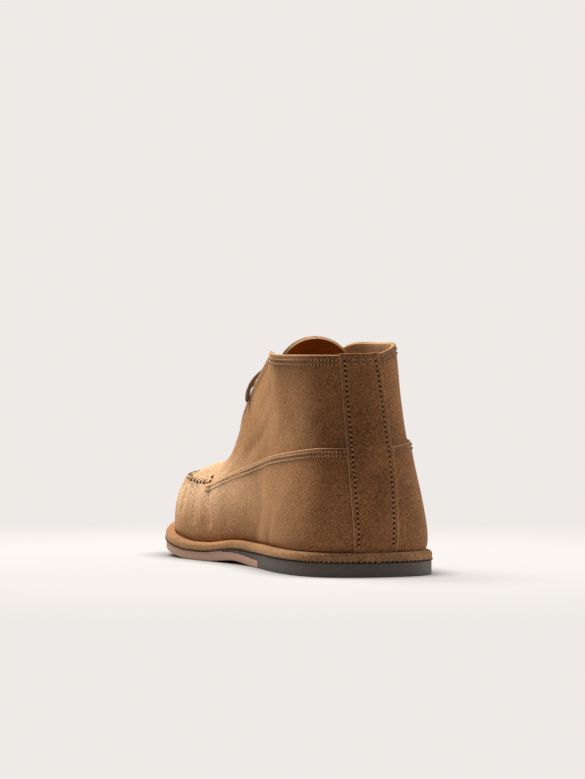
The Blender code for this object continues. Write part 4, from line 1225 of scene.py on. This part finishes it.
def wedge_underside(y, t):
    share = np.clip((t - BREAST_T) / (WEDGE_T - BREAST_T), 0.0, 1.0)
    return sole_top(y) - WEDGE_START - (WEDGE_TIP - WEDGE_START) * share


def heel_underside(y, t):
    return np.where(t > BREAST_T + 0.0002, wedge_underside(y, t), sole_bottom(y))


t_heel = np.concatenate([toe_to_heel(0.0, BREAST_T, 110), toe_to_heel(BREAST_T + 0.0005, WEDGE_T, 40)])
heel = slab("rubber_heel", t_heel, round_edge(0.0004, 0.0003, HEEL_THICKNESS, SOLE_INSET, 4),
            heel_underside, lambda y, t: sole_top(y) + 0 * t, rubber, "rubber")
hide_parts("heel")

gap = 0.0012


def outsole_top(y, t):
    return np.where(t < WEDGE_T + gap + 0.0003, wedge_underside(y, t) - CLEARANCE, sole_top(y))


t_out = np.concatenate([toe_to_heel(BREAST_T + gap, WEDGE_T + gap, 40),
                        toe_to_heel(WEDGE_T + gap + 0.0006, 0.5, 170)])
outsole = slab("forepart_sole", t_out, round_edge(0.0008, 0.0002, OUTSOLE_THICKNESS, SOLE_INSET, 5),
               lambda y, t: sole_bottom(y) + 0 * t, outsole_top, sole_leather, "sole_leather")
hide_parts("outsole")

INSOLE_THICKNESS = 0.0025
inset = TOE_REACH + WALL + 0.0009
insole = slab("sock_lining", t_sole, round_edge(0.0006, 0.0010, INSOLE_THICKNESS, inset, 4),
              lambda y, t: platform_top(y) + CLEARANCE, lambda y, t: platform_top(y) + CLEARANCE + INSOLE_THICKNESS,
              lining, "lining")
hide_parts("insole")
print("sole pieces:", [o.name for o in (midsole, heel, outsole, insole)])

# %% The dashed line under the platform
t_dash = np.linspace(0.0, 1.0, 1500)
dash_plan, dash_out = sole_edge(t_dash, 0.00015)
dash_points = np.column_stack([dash_plan - CENTRE, sole_top(dash_plan[:, 1]) + CLEARANCE + 0.0004])
dash_normals = np.column_stack([dash_out, np.zeros(len(t_dash))])
stitch_row("platform_stitches", dash_points, dash_normals, 0.0030, 0.0021, 0.00040, dark_thread)

# %% [markdown]
# ## The lace
#
# A round lace holds the throat with two pairs of eyelets. It runs straight across at the
# lower pair, over both facings, and crosses over the tongue to the upper pair, where its
# ends stay inside.

# %% The lace
LACE_DIAMETER = 0.0022
LACE_T = (5.50 * STEP, 6.15 * STEP)
EYELET_INSET = 0.0070


def by_facing(t, side, behind, under=False):
    """Point for the lace's middle, over or under the facing, so far behind its edge."""
    t = np.array([t if side == "in" else 1.0 - t])
    b = 1.0 - behind / speed_up(t, np.ones(1))
    lift = CLEARANCE * 2 + LACE_DIAMETER / 2
    return on_form(t, b, np.array([-(lift + WALL) if under else lift]))[0]


def smooth_path(knots, count):
    """Cubic through the knots, with each slope read from its two neighbours."""
    knots = np.array(knots)
    run = np.concatenate([[0.0], np.cumsum(np.linalg.norm(np.diff(knots, axis=0), axis=1))])
    at = np.linspace(0.0, run[-1], count)
    slopes = np.gradient(knots, run, axis=0)
    cell = np.clip(np.searchsorted(run, at, side="right") - 1, 0, len(run) - 2)
    width = (run[cell + 1] - run[cell])[:, None]
    s = (at[:, None] - run[cell][:, None]) / width
    return ((1 + 2 * s) * (1 - s) ** 2 * knots[cell] + s * (1 - s) ** 2 * width * slopes[cell]
            + s * s * (3 - 2 * s) * knots[cell + 1] + s * s * (s - 1) * width * slopes[cell + 1])


def lace_piece(name, knots):
    path = smooth_path(knots, 90)
    run = path_frame(path)
    up = np.cross(run, np.array([0.0, 1.0, 0.3]))
    up /= np.linalg.norm(up, axis=1)[:, None]
    print(name, "is", round(float(np.linalg.norm(np.diff(path, axis=0), axis=1).sum()) * 1000, 1), "mm long")
    return tube_along(name, path, up, LACE_DIAMETER / 2, cord, sides=12)


upper_t, lower_t = LACE_T
leave_t = lower_t + 0.16 * (upper_t - lower_t)
other = {"in": "out", "out": "in"}
lace_bar = lace_piece("lace_bar", [by_facing(lower_t, "in", EYELET_INSET), by_facing(lower_t, "in", 0.0),
                                   by_facing(lower_t, "out", 0.0), by_facing(lower_t, "out", EYELET_INSET)])
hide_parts("lace")
for side in ("in", "out"):
    lace_piece(f"lace_from_{side}", [by_facing(lower_t, side, EYELET_INSET), by_facing(leave_t, side, 0.0),
                                     by_facing(upper_t, other[side], 0.0, True),
                                     by_facing(upper_t, other[side], EYELET_INSET, True)])
print("lace bar:", len(lace_bar.data.polygons), "quads")

# %% [markdown]
# ## Finishing
#
# The dressed boot has to stay the size of the imported solids.

# %% Finish
bpy.context.view_layer.update()
